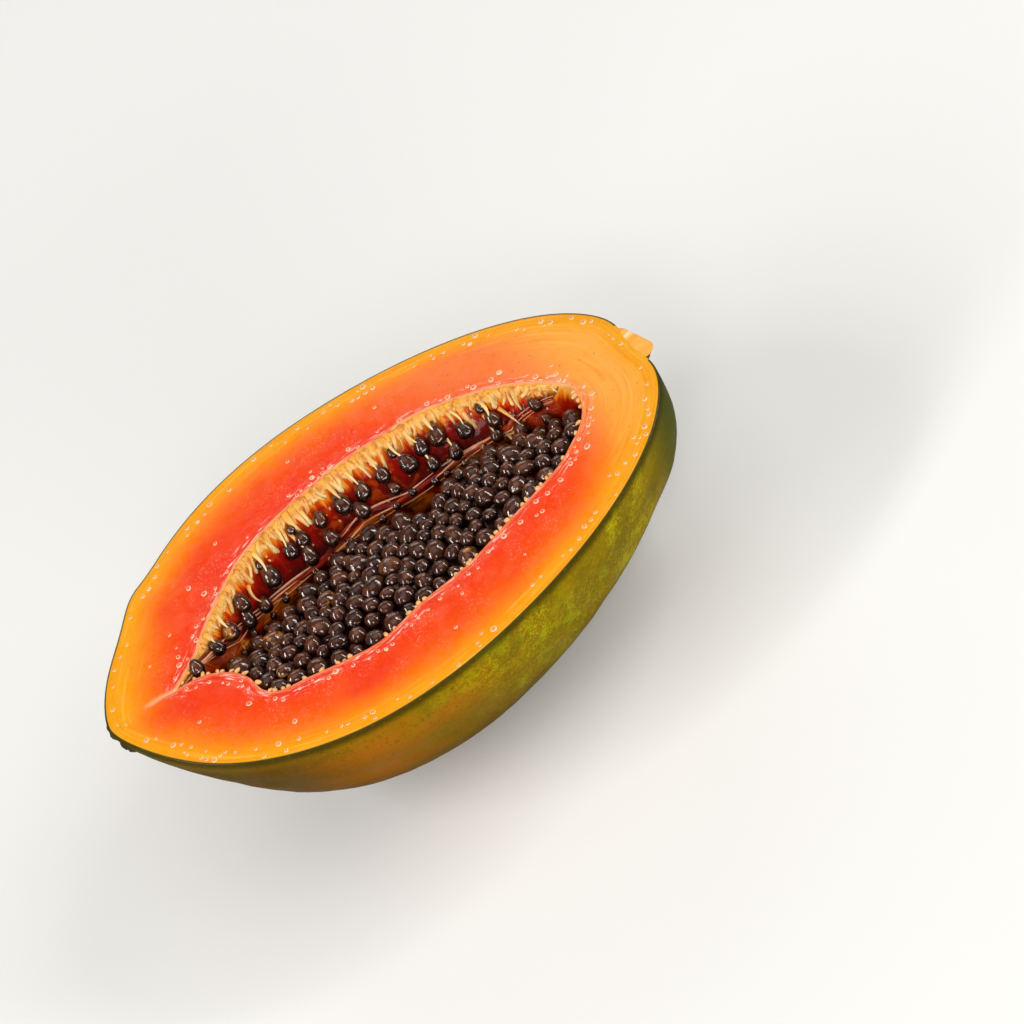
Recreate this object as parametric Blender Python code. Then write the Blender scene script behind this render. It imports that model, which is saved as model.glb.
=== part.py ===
"""Half of a ripe papaya, cut lengthwise and lying on its skin with the cut face up.

Two solids: papaya_half is the flesh with its skin, stem stub, hollow, fringe and the
seeds that stick to the far wall; seed_heap is the heap of seeds that fills the hollow.
Sizes are in millimetres from the blossom end; x runs to the stem, z = 0 is the cut face.
"""

import math
import random

import bmesh
import bpy
from mathutils import Euler, Matrix, Vector
from mathutils.bvhtree import BVHTree

MM = 0.001
OBJECT_NAME = "papaya"

# Outline of the fruit
TIP_X = -2.0
CROWN_X = 186.0
STEM_X = 188.0
WIDEST_X = 86.0
HALF_WIDTH = 57.5
CORE_DROP = 0.12
DEPTH_SHARE = 0.94
END_DROP = 2.2
SKIN_SEGMENTS = 48
SKIN_RINGS = 32

# Five soft lobes, a bump beside the blossom end, a tip that leans to the far side and a
# dimple round the stem
LOBE_DEPTH = 0.028
BUMP_X = 24.0
BUMP_HEIGHT = 2.4
TIP_LEAN = 3.0
DIMPLE_DEPTH = 3.4

# Resting face: a small flat spot on the lowest lobe
FLAT_CUT = 0.8

# Stem stub, sliced through the middle with a slanting end
STEM_RADIUS = 8.2
STEM_SLANT = 0.27
STEM_FLAT = 0.72
STEM_Y = 0.4

# Hollow: points of its rim on the cut face, far side then near side
RIM = (
    (20.5, 0.0), (30.0, 5.5), (37.0, 12.0), (44.0, 17.5), (55.0, 24.8), (64.0, 28.2),
    (76.0, 30.8), (95.0, 32.3), (110.0, 31.3), (124.0, 29.3), (136.0, 24.0), (147.0, 17.5),
    (156.0, 9.0), (161.5, 1.5), (161.0, -5.5), (157.0, -12.0), (150.0, -17.0), (142.0, -21.0),
    (124.0, -25.3), (107.0, -29.3), (90.0, -30.2), (75.0, -32.4), (64.0, -30.3),
    (52.0, -26.7), (44.0, -24.3), (40.2, -20.0), (39.0, -13.0), (35.5, -7.0), (29.0, -2.0),
)
RIM_STEPS = 60
HOLLOW_DEPTH = 36.0
SPINE = (48.0, 138.0)

# How far each wall leans in to the spine, as (depth, share of the way)
FAR_WALL = ((0.0, 0.0), (6.0, 0.17), (12.5, 0.42), (18.0, 0.45), (28.0, 0.60), (36.0, 0.88))
NEAR_WALL = ((0.0, 0.0), (6.0, 0.04), (12.5, 0.12), (18.0, 0.22), (28.0, 0.48), (36.0, 0.88))

# Fringe of soft fingers under the far rim
FINGER_COUNT = 28
FINGER_LENGTH = 6.6
FINGER_WIDTH = 1.9

# Seeds
SEED_SIZE = 5.3
SEED_GAP = 0.35
HEAP_GAP = 0.7
HEAP_TOP = 3.2
HEAP_FALL = 12.0
ROW_PITCH = 5.7
SEED_PITCH = 6.5

FLESH_COLOUR = (0.93, 0.14, 0.035, 1.0)
SEED_COLOUR = (0.045, 0.013, 0.006, 1.0)


def bell(value):
    """Smooth hump that is 1 at 0 and fades out past 2."""
    return math.exp(-value * value)


def smooth(low, high, value):
    """Smooth step from 0 at low to 1 at high."""
    share = min(1.0, max(0.0, (value - low) / (high - low)))
    return share * share * (3.0 - 2.0 * share)


def half_width(x):
    """Half the width of the cut face at x."""
    if x < WIDEST_X:
        reach = (WIDEST_X - x) / (WIDEST_X - TIP_X)
        return HALF_WIDTH * max(0.0, 1.0 - reach ** 2.2) ** 0.69
    reach = (x - WIDEST_X) / (CROWN_X - WIDEST_X)
    return HALF_WIDTH * max(0.0, 1.0 - reach ** 1.75) ** 0.46


def core_drop(x):
    """Depth of the fruit's middle line below the cut face at x."""
    ends = bell((x - TIP_X) / 7.0) + 0.5 * bell((x - CROWN_X) / 7.0)
    return CORE_DROP * half_width(x) + END_DROP * ends


def depth_share(x):
    """How deep the section is for its width: flatter at the blossom end, full at the stem."""
    return DEPTH_SHARE - 0.42 * bell((x - TIP_X) / 22.0) + 0.42 * bell((x - CROWN_X) / 16.0)


def skin_point(x, turn):
    """Point of the skin at x; turn is 0 on the far side and -90 degrees at the bottom."""
    radius = half_width(x) * math.hypot(1.0, CORE_DROP)
    fade = smooth(TIP_X, TIP_X + 30.0, x) * smooth(CROWN_X, CROWN_X - 14.0, x)
    lobe = LOBE_DEPTH * fade * math.cos(5.0 * (turn - math.pi / 2.0))
    bump = BUMP_HEIGHT * bell((x - BUMP_X) / 6.5) * bell(turn / 0.5)
    dimple = DIMPLE_DEPTH * bell(radius / 10.0) if x > WIDEST_X else 0.0
    radius = radius * (1.0 + lobe) + bump
    height = (radius * math.sin(turn) - core_drop(x)) * depth_share(x)
    aside = TIP_LEAN * bell((x - TIP_X) / 12.0)
    return Vector((x - dimple, radius * math.cos(turn) + aside, height))


DEPTH = -skin_point(WIDEST_X, math.radians(-90.0)).z - FLAT_CUT
MIDDLE_X = 0.5 * (TIP_X + STEM_X)


def collection(name):
    """New collection in the scene."""
    made = bpy.data.collections.new(name)
    bpy.context.scene.collection.children.link(made)
    return made


def add_object(name, bm, home, colour=None, roughness=0.4):
    """Object from a bmesh drawn in millimetres, with its own material if it has a colour."""
    bmesh.ops.scale(bm, vec=(MM, MM, MM), verts=bm.verts)
    mesh = bpy.data.meshes.new(name)
    bm.to_mesh(mesh)
    bm.free()
    made = bpy.data.objects.new(name, mesh)
    home.objects.link(made)
    if colour:
        material = bpy.data.materials.new(name)
        material.use_nodes = True
        shader = material.node_tree.nodes["Principled BSDF"]
        shader.inputs["Base Color"].default_value = colour
        shader.inputs["Roughness"].default_value = roughness
        shader.inputs["Metallic"].default_value = 0.0
        mesh.materials.append(material)
    return made


def boolean(target, operation, other=None, group=None, solver="EXACT"):
    """Boolean modifier on target, with one object or with a collection."""
    modifier = target.modifiers.new(operation.lower(), "BOOLEAN")
    modifier.operation = operation
    modifier.solver = solver
    if group:
        modifier.operand_type = "COLLECTION"
        modifier.collection = group
    else:
        modifier.object = other
    return modifier


def apply_modifiers(target):
    """Replace the mesh of target by its evaluated mesh, without modifiers."""
    graph = bpy.context.evaluated_depsgraph_get()
    mesh = bpy.data.meshes.new_from_object(target.evaluated_get(graph))
    target.modifiers.clear()
    target.data = mesh


def fuse(target, group, solver="EXACT"):
    """Join every object of a collection to target, then remove the collection's objects."""
    boolean(target, "UNION", group=group, solver=solver)
    apply_modifiers(target)
    for piece in list(group.objects):
        bpy.data.objects.remove(piece, do_unlink=True)
    bpy.data.collections.remove(group)


def make_cutter(name, bm, home):
    """Cutter object, drawn as wire and left out of renders."""
    made = add_object(name, bm, home)
    made.hide_render = True
    made.display_type = "WIRE"
    return made


def box(low, high):
    """Closed box between two corners, in millimetres."""
    bm = bmesh.new()
    bmesh.ops.create_cube(bm, size=1.0)
    low, high = Vector(low), Vector(high)
    for vert in bm.verts:
        vert.co = Vector([l + (c + 0.5) * (h - l) for l, h, c in zip(low, high, vert.co)])
    return bm


def whole_fruit():
    """Closed skin of the whole fruit: a sphere whose rings follow the outline."""
    bm = bmesh.new()
    bmesh.ops.create_uvsphere(bm, u_segments=SKIN_SEGMENTS, v_segments=SKIN_RINGS, radius=1.0)
    bmesh.ops.rotate(bm, matrix=Matrix.Rotation(math.radians(90.0), 3, "Y"), verts=bm.verts)
    for vert in bm.verts:
        share = 0.5 * (1.0 + max(-1.0, min(1.0, vert.co.x)))
        turn = math.atan2(vert.co.z, vert.co.y)
        vert.co = skin_point(TIP_X + (CROWN_X - TIP_X) * share, turn)
    bmesh.ops.recalc_face_normals(bm, faces=bm.faces)
    return bm


def stem_stub():
    """Short stub of the stem, a tapering cylinder along x with a slanting end."""
    bm = bmesh.new()
    bmesh.ops.create_cone(bm, cap_ends=True, segments=22, radius1=STEM_RADIUS + 0.7,
                          radius2=STEM_RADIUS - 0.5, depth=1.0)
    bmesh.ops.rotate(bm, matrix=Matrix.Rotation(math.radians(90.0), 3, "Y"), verts=bm.verts)
    for vert in bm.verts:
        across, up = vert.co.y, vert.co.z
        end = STEM_X - 0.3 - STEM_SLANT * (across + 5.0) - 0.02 * max(0.0, -across - 3.0) ** 3
        x = min(end, STEM_X) if vert.co.x > 0.0 else CROWN_X - 11.0
        vert.co = Vector((x, across + STEM_Y, STEM_FLAT * up - 0.8))
    return bm


def ball(centre, lengths, turn=(0.0, 0.0, 0.0), segments=6, rings=4, egg=0.0):
    """Low ball with the given full lengths; egg narrows its +z end."""
    bm = bmesh.new()
    bmesh.ops.create_uvsphere(bm, u_segments=segments, v_segments=rings, radius=0.5)
    spin = Euler(turn).to_matrix()
    for vert in bm.verts:
        narrow = 1.0 - egg * vert.co.z
        local = Vector((vert.co.x * narrow * lengths[0], vert.co.y * narrow * lengths[1],
                        vert.co.z * lengths[2]))
        vert.co = spin @ local + Vector(centre)
    return bm


def rim_points(count):
    """Points spaced evenly along a smooth curve through the rim, from the pointed end."""
    knots = [Vector(p) for p in RIM] + [Vector(RIM[0])]
    dense = []
    for i in range(len(knots) - 1):
        a, b = knots[max(i - 1, 0)], knots[i]
        c, d = knots[i + 1], knots[min(i + 2, len(knots) - 1)]
        for step in range(12):
            t = step / 12.0
            dense.append(0.5 * ((2.0 * b) + (c - a) * t + (2.0 * a - 5.0 * b + 4.0 * c - d) * t * t
                                + (3.0 * b - a - 3.0 * c + d) * t ** 3))
    dense.append(knots[-1])
    reach = [0.0]
    for first, second in zip(dense, dense[1:]):
        reach.append(reach[-1] + (second - first).length)
    points, at = [], 0
    for k in range(count):
        goal = reach[-1] * k / count
        while reach[at + 1] < goal:
            at += 1
        share = (goal - reach[at]) / (reach[at + 1] - reach[at])
        points.append(dense[at].lerp(dense[at + 1], share))
    return points


def lean(wall, depth):
    """Share of the way to the spine that a wall leans in at a depth."""
    for (d0, s0), (d1, s1) in zip(wall, wall[1:]):
        if depth <= d1:
            return s0 + (s1 - s0) * max(0.0, depth - d0) / (d1 - d0)
    return wall[-1][1]


def hollow_point(rim, depth, inset=0.0):
    """Point of the hollow's wall below a rim point; inset moves it to the inside."""
    spine = Vector((min(SPINE[1], max(SPINE[0], rim.x)), 0.0))
    far = smooth(-8.0, 12.0, rim.y)
    share = lean(NEAR_WALL, depth) * (1.0 - far) + lean(FAR_WALL, depth) * far
    plan = rim.lerp(spine, share)
    inward = spine - rim
    plan += inward.normalized() * inset
    return Vector((plan.x, plan.y, -depth))


def hollow_solid(inset=0.0, top=3.0):
    """Solid that fills the hollow, from its floor to a little above the cut face."""
    bm = bmesh.new()
    rim = rim_points(RIM_STEPS)
    rings = [[bm.verts.new((*hollow_point(p, 0.0, inset).xy, top)) for p in rim]]
    for depth, _ in FAR_WALL:
        if depth or not inset:
            ring = [hollow_point(p, depth, inset) for p in rim]
            lift = inset if depth == HOLLOW_DEPTH else 0.0
            rings.append([bm.verts.new(p + Vector((0.0, 0.0, lift))) for p in ring])
    for upper, lower in zip(rings, rings[1:]):
        for i in range(RIM_STEPS):
            j = (i + 1) % RIM_STEPS
            bm.faces.new((upper[i], upper[j], lower[j], lower[i]))
    bm.faces.new(rings[0])
    bm.faces.new(rings[-1])
    bmesh.ops.recalc_face_normals(bm, faces=bm.faces)
    bmesh.ops.triangulate(bm, faces=[f for f in bm.faces if len(f.verts) > 4])
    return bm


def rim_sides(x):
    """Near and far y of the rim at x."""
    sides = [0.0, 0.0]
    points = rim_points(RIM_STEPS * 2)
    for a, b in zip(points, points[1:] + points[:1]):
        if (a.x - x) * (b.x - x) <= 0.0 and a.x != b.x:
            y = a.y + (b.y - a.y) * (x - a.x) / (b.x - a.x)
            sides[0 if b.x < a.x else 1] = y
    return sides


def heap_height(x, y):
    """Height of the heap's inner surface: nearly level at the near rim, lower at the far wall."""
    near, far = rim_sides(min(158.0, max(26.0, x)))
    share = min(1.1, max(0.0, (y - near) / max(6.0, far - near)))
    return -HEAP_TOP - HEAP_FALL * (share / 0.8) ** 2.0


def heap_lid():
    """Block above the heap: a grid whose underside is the heap's inner surface."""
    bm = bmesh.new()
    bmesh.ops.create_cube(bm, size=1.0)
    bmesh.ops.subdivide_edges(bm, edges=bm.edges, cuts=11, use_grid_fill=True)
    for vert in bm.verts:
        x = 15.0 + (vert.co.x + 0.5) * 152.0
        y = vert.co.y * 76.0
        low = heap_height(x, y)
        vert.co = Vector((x, y, low + (vert.co.z + 0.5) * (8.0 - low)))
    return bm


def surface_tree(target):
    """Search tree of an object's surface, whose normals point into the open."""
    bm = bmesh.new()
    bm.from_mesh(target.data)
    tree = BVHTree.FromBMesh(bm)
    bm.free()
    return tree


def wall_seeds(tree):
    """Seeds that stick to the far wall: a row of large ones above a row of small ones."""
    draw = random.Random(11)
    found = []
    rows = ((7.6, 5.4, 7.4, 33.0, 156.0), (11.2, 4.3, 8.6, 38.0, 152.0))
    for depth, size, pitch, first, last in rows:
        count = int((last - first) / pitch)
        for k in range(count + 1):
            x = first + (last - first) * k / count + draw.uniform(-1.2, 1.2)
            far = rim_sides(x)[1]
            drop = depth * smooth(0.0, 14.0, far) + draw.uniform(-0.8, 0.8)
            spot = hollow_point(Vector((x, far)), max(2.0, drop))
            place, normal, _, _ = tree.find_nearest(spot * MM)
            length = size * draw.uniform(0.9, 1.08)
            centre = place / MM + normal * 0.28 * length
            tip = (draw.uniform(0.5, 0.9), draw.uniform(-0.2, 0.2), draw.uniform(-0.3, 0.3))
            found.append((centre, length, tip))
    return found


def heap_seeds(tree, core):
    """Seeds half sunk in the heap's core, in staggered rows, clear of the hollow's surface."""
    draw = random.Random(5)
    found = []
    for row in range(-7, 6):
        for k in range(27):
            x = 20.0 + (k + 0.5 * (row % 2)) * SEED_PITCH + draw.uniform(-0.9, 0.9)
            y = row * ROW_PITCH + draw.uniform(-0.7, 0.7)
            size = SEED_SIZE * draw.uniform(0.88, 1.1)
            tip = (draw.uniform(-1.3, 1.3), draw.uniform(-1.3, 1.3), draw.uniform(0.0, 6.2))
            if not 24.0 < x < 159.0:
                continue
            near, far = rim_sides(x)
            if not near + 1.5 < y < 0.72 * far:
                continue
            centre = Vector((x, y, min(heap_height(x, y) + 0.16 * size, -0.57 * size)))
            need = 0.57 * size + SEED_GAP
            for _ in range(3):
                place, normal, _, away = tree.find_nearest(centre * MM)
                away = math.copysign(away / MM, (centre - place / MM).dot(normal))
                if need - 2.4 < away < need:
                    centre += normal * (need - away + 0.02)
                    centre.z = min(centre.z, -0.57 * size)
            held = core.find_nearest(centre * MM)[3] / MM < 0.32 * size
            if away >= need and held:
                found.append((centre, size, tip))
    return found


def add_seed(name, seed, home):
    """One seed: a slightly egg-shaped ball with few sides."""
    centre, size, tip = seed
    lengths = (0.94 * size, 0.94 * size, 1.12 * size)
    add_object(name, ball(centre, lengths, tip, 5, 4, 0.16), home)


def add_fringe(tree, home):
    """Fingers of soft tissue that hang from the far rim over the wall."""
    draw = random.Random(3)
    for k in range(FINGER_COUNT):
        x = 34.0 + 120.0 * (k + draw.uniform(-0.25, 0.25)) / (FINGER_COUNT - 1)
        far = rim_sides(x)[1]
        length = FINGER_LENGTH * draw.uniform(0.8, 1.1) * smooth(0.0, 16.0, far)
        spot = hollow_point(Vector((x, far)), 0.4 * length + 0.7)
        place, normal, _, _ = tree.find_nearest(spot * MM)
        foot = hollow_point(Vector((x, far)), 0.8 * length)
        along = (foot - hollow_point(Vector((x, far)), 0.2)).normalized()
        turn = along.to_track_quat("Z", "Y").to_euler()
        width = FINGER_WIDTH * draw.uniform(0.85, 1.15)
        centre = place / MM + normal * 0.15
        add_object(f"finger_{k}", ball(centre, (width, width, length), turn, 6, 4), home)


def finish(node, empty):
    """Shade a finished node and hang it on the empty that carries both."""
    node.data.shade_smooth()
    node.data.set_sharp_from_angle(angle=math.radians(50.0))
    node.parent = empty


def main():
    """Build the two solids of the papaya half."""
    for old in list(bpy.data.objects):
        bpy.data.objects.remove(old, do_unlink=True)

    parts = collection(OBJECT_NAME)
    cutters = collection("cutters")
    frame = bpy.data.objects.new("papaya_frame", None)
    frame.location = (-MIDDLE_X * MM, 0.0, DEPTH * MM)
    parts.objects.link(frame)

    # Flesh and skin, with the stem stub and the dry blossom scar at the other end
    half = add_object("papaya_half", whole_fruit(), parts, FLESH_COLOUR, 0.38)
    ends = collection("ends")
    add_object("stem_stub", stem_stub(), ends)
    for k, (y, z, size) in enumerate(((8.6, -4.6, 6.2), (3.6, -5.4, 6.8), (-1.4, -5.0, 5.6))):
        x = TIP_X + 3.4 + 0.014 * y * y
        add_object(f"scar_{k}", ball((x, y, z), (size, size, 0.8 * size), segments=8), ends)
    fuse(half, ends)

    # Cut face, resting spot and hollow
    knife = make_cutter("knife", box((-20.0, -80.0, 0.0), (210.0, 80.0, 90.0)), cutters)
    rest = make_cutter("rest", box((30.0, -60.0, -90.0), (150.0, 60.0, -DEPTH)), cutters)
    hollow = make_cutter("hollow", hollow_solid(), cutters)
    for cutter in (knife, rest, hollow):
        boolean(half, "DIFFERENCE", cutter)
    apply_modifiers(half)

    # Fringe and the seeds that stick to the far wall
    wall = surface_tree(half)
    loose = collection("stuck_pieces")
    add_fringe(wall, loose)
    for k, seed in enumerate(wall_seeds(wall)):
        add_seed(f"wall_seed_{k}", seed, loose)
    fuse(half, loose, "MANIFOLD")

    # Heap of seeds: a plain core with the seeds that show fused on
    heap = add_object("seed_heap", hollow_solid(HEAP_GAP, 0.0), parts, SEED_COLOUR, 0.25)
    lid = make_cutter("heap_lid", heap_lid(), cutters)
    boolean(heap, "DIFFERENCE", lid)
    apply_modifiers(heap)
    shown = collection("heap_pieces")
    for k, seed in enumerate(heap_seeds(surface_tree(half), surface_tree(heap))):
        add_seed(f"heap_seed_{k}", seed, shown)
    fuse(heap, shown, "MANIFOLD")

    for node in (half, heap):
        finish(node, frame)
    for cutter in cutters.objects:
        cutter.parent = frame


main()
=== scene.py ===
"""Half of a ripe papaya, dressed: skin, cut flesh, hollow, fringe, seeds and juice.

Sizes are in millimetres from the blossom end of the fruit: x runs to the stem, y to the
far side of the cut face and z up out of it. Placement turns them into metres in the frame.
"""

from __future__ import annotations

import logging
import math
import random
from collections.abc import Callable
from dataclasses import dataclass
from enum import Enum

import bmesh
import bpy
import numpy as np
from mathutils import Matrix, Vector, noise


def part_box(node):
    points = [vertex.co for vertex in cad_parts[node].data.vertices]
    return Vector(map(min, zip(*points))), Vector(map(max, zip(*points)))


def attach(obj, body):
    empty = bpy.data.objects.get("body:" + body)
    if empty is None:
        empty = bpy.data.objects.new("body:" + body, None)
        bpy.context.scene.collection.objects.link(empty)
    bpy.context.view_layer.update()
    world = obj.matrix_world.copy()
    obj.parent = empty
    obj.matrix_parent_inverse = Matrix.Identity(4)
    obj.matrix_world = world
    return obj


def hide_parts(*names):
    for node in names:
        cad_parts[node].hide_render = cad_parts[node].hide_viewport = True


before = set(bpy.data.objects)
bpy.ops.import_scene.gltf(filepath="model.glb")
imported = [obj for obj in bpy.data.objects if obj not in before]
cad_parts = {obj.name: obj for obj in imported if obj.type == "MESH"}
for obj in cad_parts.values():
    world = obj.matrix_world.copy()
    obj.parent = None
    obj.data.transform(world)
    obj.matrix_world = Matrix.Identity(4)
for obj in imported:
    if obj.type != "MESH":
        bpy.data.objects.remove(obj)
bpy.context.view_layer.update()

LOG = logging.getLogger("papaya")
Array = np.ndarray
Socket = bpy.types.NodeSocket
Piece = bpy.types.Object
Material = bpy.types.Material
Triple = tuple[float, float, float]
Knots = tuple[tuple[float, float], ...]
Stops = tuple[tuple[float, str], ...]

HALF_NODE = "papaya_half"
HEAP_NODE = "seed_heap"
BODY = "root"
MM = 0.001
WATER_IOR = 1.33
EDGE_POINTS = 720
LOBES = 5.0
WALL_FACES: Triple = (0.0, 0.75, -0.66)


class Slot(Enum):
    """Material slots of the record."""

    FLESH = "flesh"
    SEED = "seed"


class Side(Enum):
    """Sides of the hollow: the far one shows its wall, the near one only its rim."""

    FAR = 1.0
    NEAR = -1.0


def srgb(code: str) -> tuple[float, float, float, float]:
    """Linear colour of a display colour.

    Args:
        code: Six hexadecimal digits after a hash sign.

    Returns:
        Linear red, green, blue and alpha.
    """
    parts = [int(code[i:i + 2], 16) / 255.0 for i in (1, 3, 5)]
    linear = [c / 12.92 if c <= 0.04045 else ((c + 0.055) / 1.055) ** 2.4 for c in parts]
    return (*linear, 1.0)


def bell(value: Array | float) -> Array | float:
    """Smooth hump that is 1 at 0 and fades out past 2."""
    return np.exp(-np.square(value))


def smooth(low: float, high: float, value: Array | float) -> Array | float:
    """Smooth step from 0 at low to 1 at high."""
    share = np.clip((np.asarray(value, float) - low) / (high - low), 0.0, 1.0)
    return share * share * (3.0 - 2.0 * share)


def ripple(points: Array, scale: float, octaves: int = 3) -> Array:
    """Fractal noise at each point.

    Args:
        points: Points in millimetres, one a row.
        scale: Size of the largest waves, in millimetres.
        octaves: Number of finer layers.

    Returns:
        Values around 0, within about -1 to 1.
    """
    return np.array([noise.fractal(Vector(p) / scale, 0.6, 2.0, octaves) for p in points])


def resample(points: Array, count: int) -> Array:
    """Points spaced evenly along an open line.

    Args:
        points: Points of the line, one a row.
        count: Number of points wanted, both ends included.

    Returns:
        The new points.
    """
    reach = path_length(points)
    goal = np.linspace(0.0, reach[-1], count)
    return np.stack([np.interp(goal, reach, points[:, k]) for k in range(points.shape[1])], 1)


def distance_to_line(points: Array, line: Array) -> Array:
    """Shortest distance from each point to a line of segments, in the plane.

    Args:
        points: Points, one a row.
        line: Points of the line, one a row.

    Returns:
        One distance a point.
    """
    a, b = line[:-1], line[1:]
    run = b - a
    length = np.maximum(np.einsum("ij,ij->i", run, run), 1e-9)
    found = np.full(len(points), 1e9)
    for start, vector, square in zip(a, run, length):
        share = np.clip(((points - start) @ vector) / square, 0.0, 1.0)
        gap = np.linalg.norm(points - start - share[:, None] * vector, axis=1)
        found = np.minimum(found, gap)
    return found


def path_length(points: Array) -> Array:
    """Length of an open line up to each of its points."""
    steps = np.linalg.norm(np.diff(points, axis=0), axis=1)
    return np.concatenate([[0.0], np.cumsum(steps)])


def close_ring(ring: Array) -> Array:
    """A ring with its first point again at its end."""
    return np.vstack([ring, ring[:1]])


def circle(sides: int) -> Array:
    """Angles of evenly spaced points round a circle."""
    return np.arange(sides) * 2.0 * math.pi / sides


def add_object(name: str, data: bpy.types.ID) -> Piece:
    """Object of some data, linked to the scene.

    Args:
        name: Name of the object.
        data: Its mesh, light or camera.

    Returns:
        The object.
    """
    made = bpy.data.objects.new(name, data)
    bpy.context.scene.collection.objects.link(made)
    return made


@dataclass(frozen=True)
class Placement:
    """Turns fruit millimetres into metres of the frame."""

    origin: Vector

    @classmethod
    def from_frame(cls, tip_x: float) -> "Placement":
        """Placement read from the box of the half's solid."""
        low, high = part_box(HALF_NODE)
        return cls(Vector((low.x - tip_x * MM, 0.0, high.z)))

    def metres(self, points: Array) -> Array:
        """Points in metres of the frame."""
        return np.asarray(points, float) * MM + np.array(self.origin)


@dataclass(frozen=True)
class FruitShape:
    """Outline, section and hollow of the fruit."""

    tip_x: float = -2.0
    crown_x: float = 186.0
    widest_x: float = 86.0
    half_width: float = 57.5
    tip_powers: tuple[float, float] = (2.2, 0.69)
    crown_powers: tuple[float, float] = (1.75, 0.46)
    core_drop: float = 0.12
    end_drop: float = 2.2
    depth_share: float = 0.94
    lobe: float = 0.028
    bump_x: float = 24.0
    bump: float = 2.4
    tip_lean: float = 3.0
    dimple: float = 3.4
    flat_cut: float = 0.8
    end_thinning: float = 0.42
    search: tuple[float, float] = (5.0, 125.0)
    halvings: int = 34
    heap_ends: tuple[float, float] = (26.0, 158.0)
    heap_drop: float = 3.2
    heap_fall: float = 12.0
    hollow_depth: float = 36.0
    spine: tuple[float, float] = (48.0, 138.0)
    far_rim: Knots = (
        (20.5, 0.0), (30.0, 5.5), (37.0, 12.0), (44.0, 17.5), (55.0, 24.8), (64.0, 28.2),
        (76.0, 30.8), (95.0, 32.3), (110.0, 31.3), (124.0, 29.3), (136.0, 24.0),
        (147.0, 17.5), (156.0, 9.0), (161.5, 1.5),
    )
    near_rim: Knots = (
        (161.5, 1.5), (161.0, -5.5), (157.0, -12.0), (150.0, -17.0), (142.0, -21.0),
        (124.0, -25.3), (107.0, -29.3), (90.0, -30.2), (75.0, -32.4), (64.0, -30.3),
        (52.0, -26.7), (44.0, -24.3), (40.2, -20.0), (39.0, -13.0), (35.5, -7.0),
        (29.0, -2.0), (20.5, 0.0),
    )
    far_wall: Knots = (
        (0.0, 0.0), (6.0, 0.17), (12.5, 0.42), (18.0, 0.45), (28.0, 0.60), (36.0, 0.88),
    )
    near_wall: Knots = (
        (0.0, 0.0), (6.0, 0.04), (12.5, 0.12), (18.0, 0.22), (28.0, 0.48), (36.0, 0.88),
    )

    def width_at(self, x: Array) -> Array:
        """Half the width of the cut face at x.

        Args:
            x: Places along the fruit.

        Returns:
            Half widths in millimetres.
        """
        halves = []
        for end, (inner, outer) in ((self.tip_x, self.tip_powers),
                                    (self.crown_x, self.crown_powers)):
            away = np.abs(x - self.widest_x) / abs(end - self.widest_x)
            halves.append(np.maximum(0.0, 1.0 - away ** inner) ** outer)
        return self.half_width * np.where(x < self.widest_x, *halves)

    def drop_at(self, x: Array) -> Array:
        """Depth of the fruit's middle line below the cut face at x."""
        ends = bell((x - self.tip_x) / 7.0) + 0.5 * bell((x - self.crown_x) / 7.0)
        return self.core_drop * self.width_at(x) + self.end_drop * ends

    def share_at(self, x: Array) -> Array:
        """How deep the section is for its width at x.

        Args:
            x: Places along the fruit.

        Returns:
            Depth of the section as a share of half its width.
        """
        blossom = self.end_thinning * bell((x - self.tip_x) / 22.0)
        crown = self.end_thinning * bell((x - self.crown_x) / 16.0)
        return self.depth_share - blossom + crown

    def inside(self, points: Array) -> Array:
        """How far each point is inside the skin; negative outside.

        Args:
            points: Points, one a row.

        Returns:
            One distance a point.
        """
        x = points[:, 0]
        height = points[:, 2] / self.share_at(x) + self.drop_at(x)
        across = points[:, 1] - self.tip_lean * bell((x - self.tip_x) / 12.0)
        away = np.hypot(across, height)
        x = x + np.where(x > self.widest_x, self.dimple * bell(away / 10.0), 0.0)
        turn = np.arctan2(height, across)
        fade = smooth(self.tip_x, self.tip_x + 30.0, x) * (1.0 - smooth(170.0, self.crown_x, x))
        lobe = self.lobe * fade * np.cos(LOBES * (turn - math.pi / 2.0))
        bump = self.bump * bell((x - self.bump_x) / 6.5) * bell(turn / 0.5)
        radius = self.width_at(x) * math.hypot(1.0, self.core_drop) * (1.0 + lobe) + bump
        beyond = np.maximum(0.0, x - self.crown_x) + np.maximum(0.0, self.tip_x - x)
        return radius - away - beyond

    def skin(self, plan: Array, dip: Array) -> Array:
        """Points of the skin seen from the widest place of the cut face.

        Args:
            plan: Compass angle of each ray, 0 towards the stem.
            dip: Angle of each ray below the cut face.

        Returns:
            Points in millimetres, one a row.
        """
        ray = np.stack([np.cos(plan) * np.cos(dip), np.sin(plan) * np.cos(dip), -np.sin(dip)], 1)
        start = np.array([self.widest_x, 0.0, 0.0])
        low, high = (np.full(len(ray), reach) for reach in self.search)
        for _ in range(self.halvings):
            middle = 0.5 * (low + high)
            within = self.inside(start + middle[:, None] * ray) > 0.0
            low, high = np.where(within, middle, low), np.where(within, high, middle)
        points = start + low[:, None] * ray
        points[:, 2] = np.maximum(points[:, 2], -self.depth())
        return points

    def depth(self) -> float:
        """Depth of the half from the cut face to its resting spot.

        Returns:
            The depth in millimetres.
        """
        middle = np.array([self.widest_x])
        radius = self.half_width * math.hypot(1.0, self.core_drop) * (1.0 - self.lobe)
        drop = float(self.drop_at(middle)[0])
        return (radius + drop) * float(self.share_at(middle)[0]) - self.flat_cut

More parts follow.
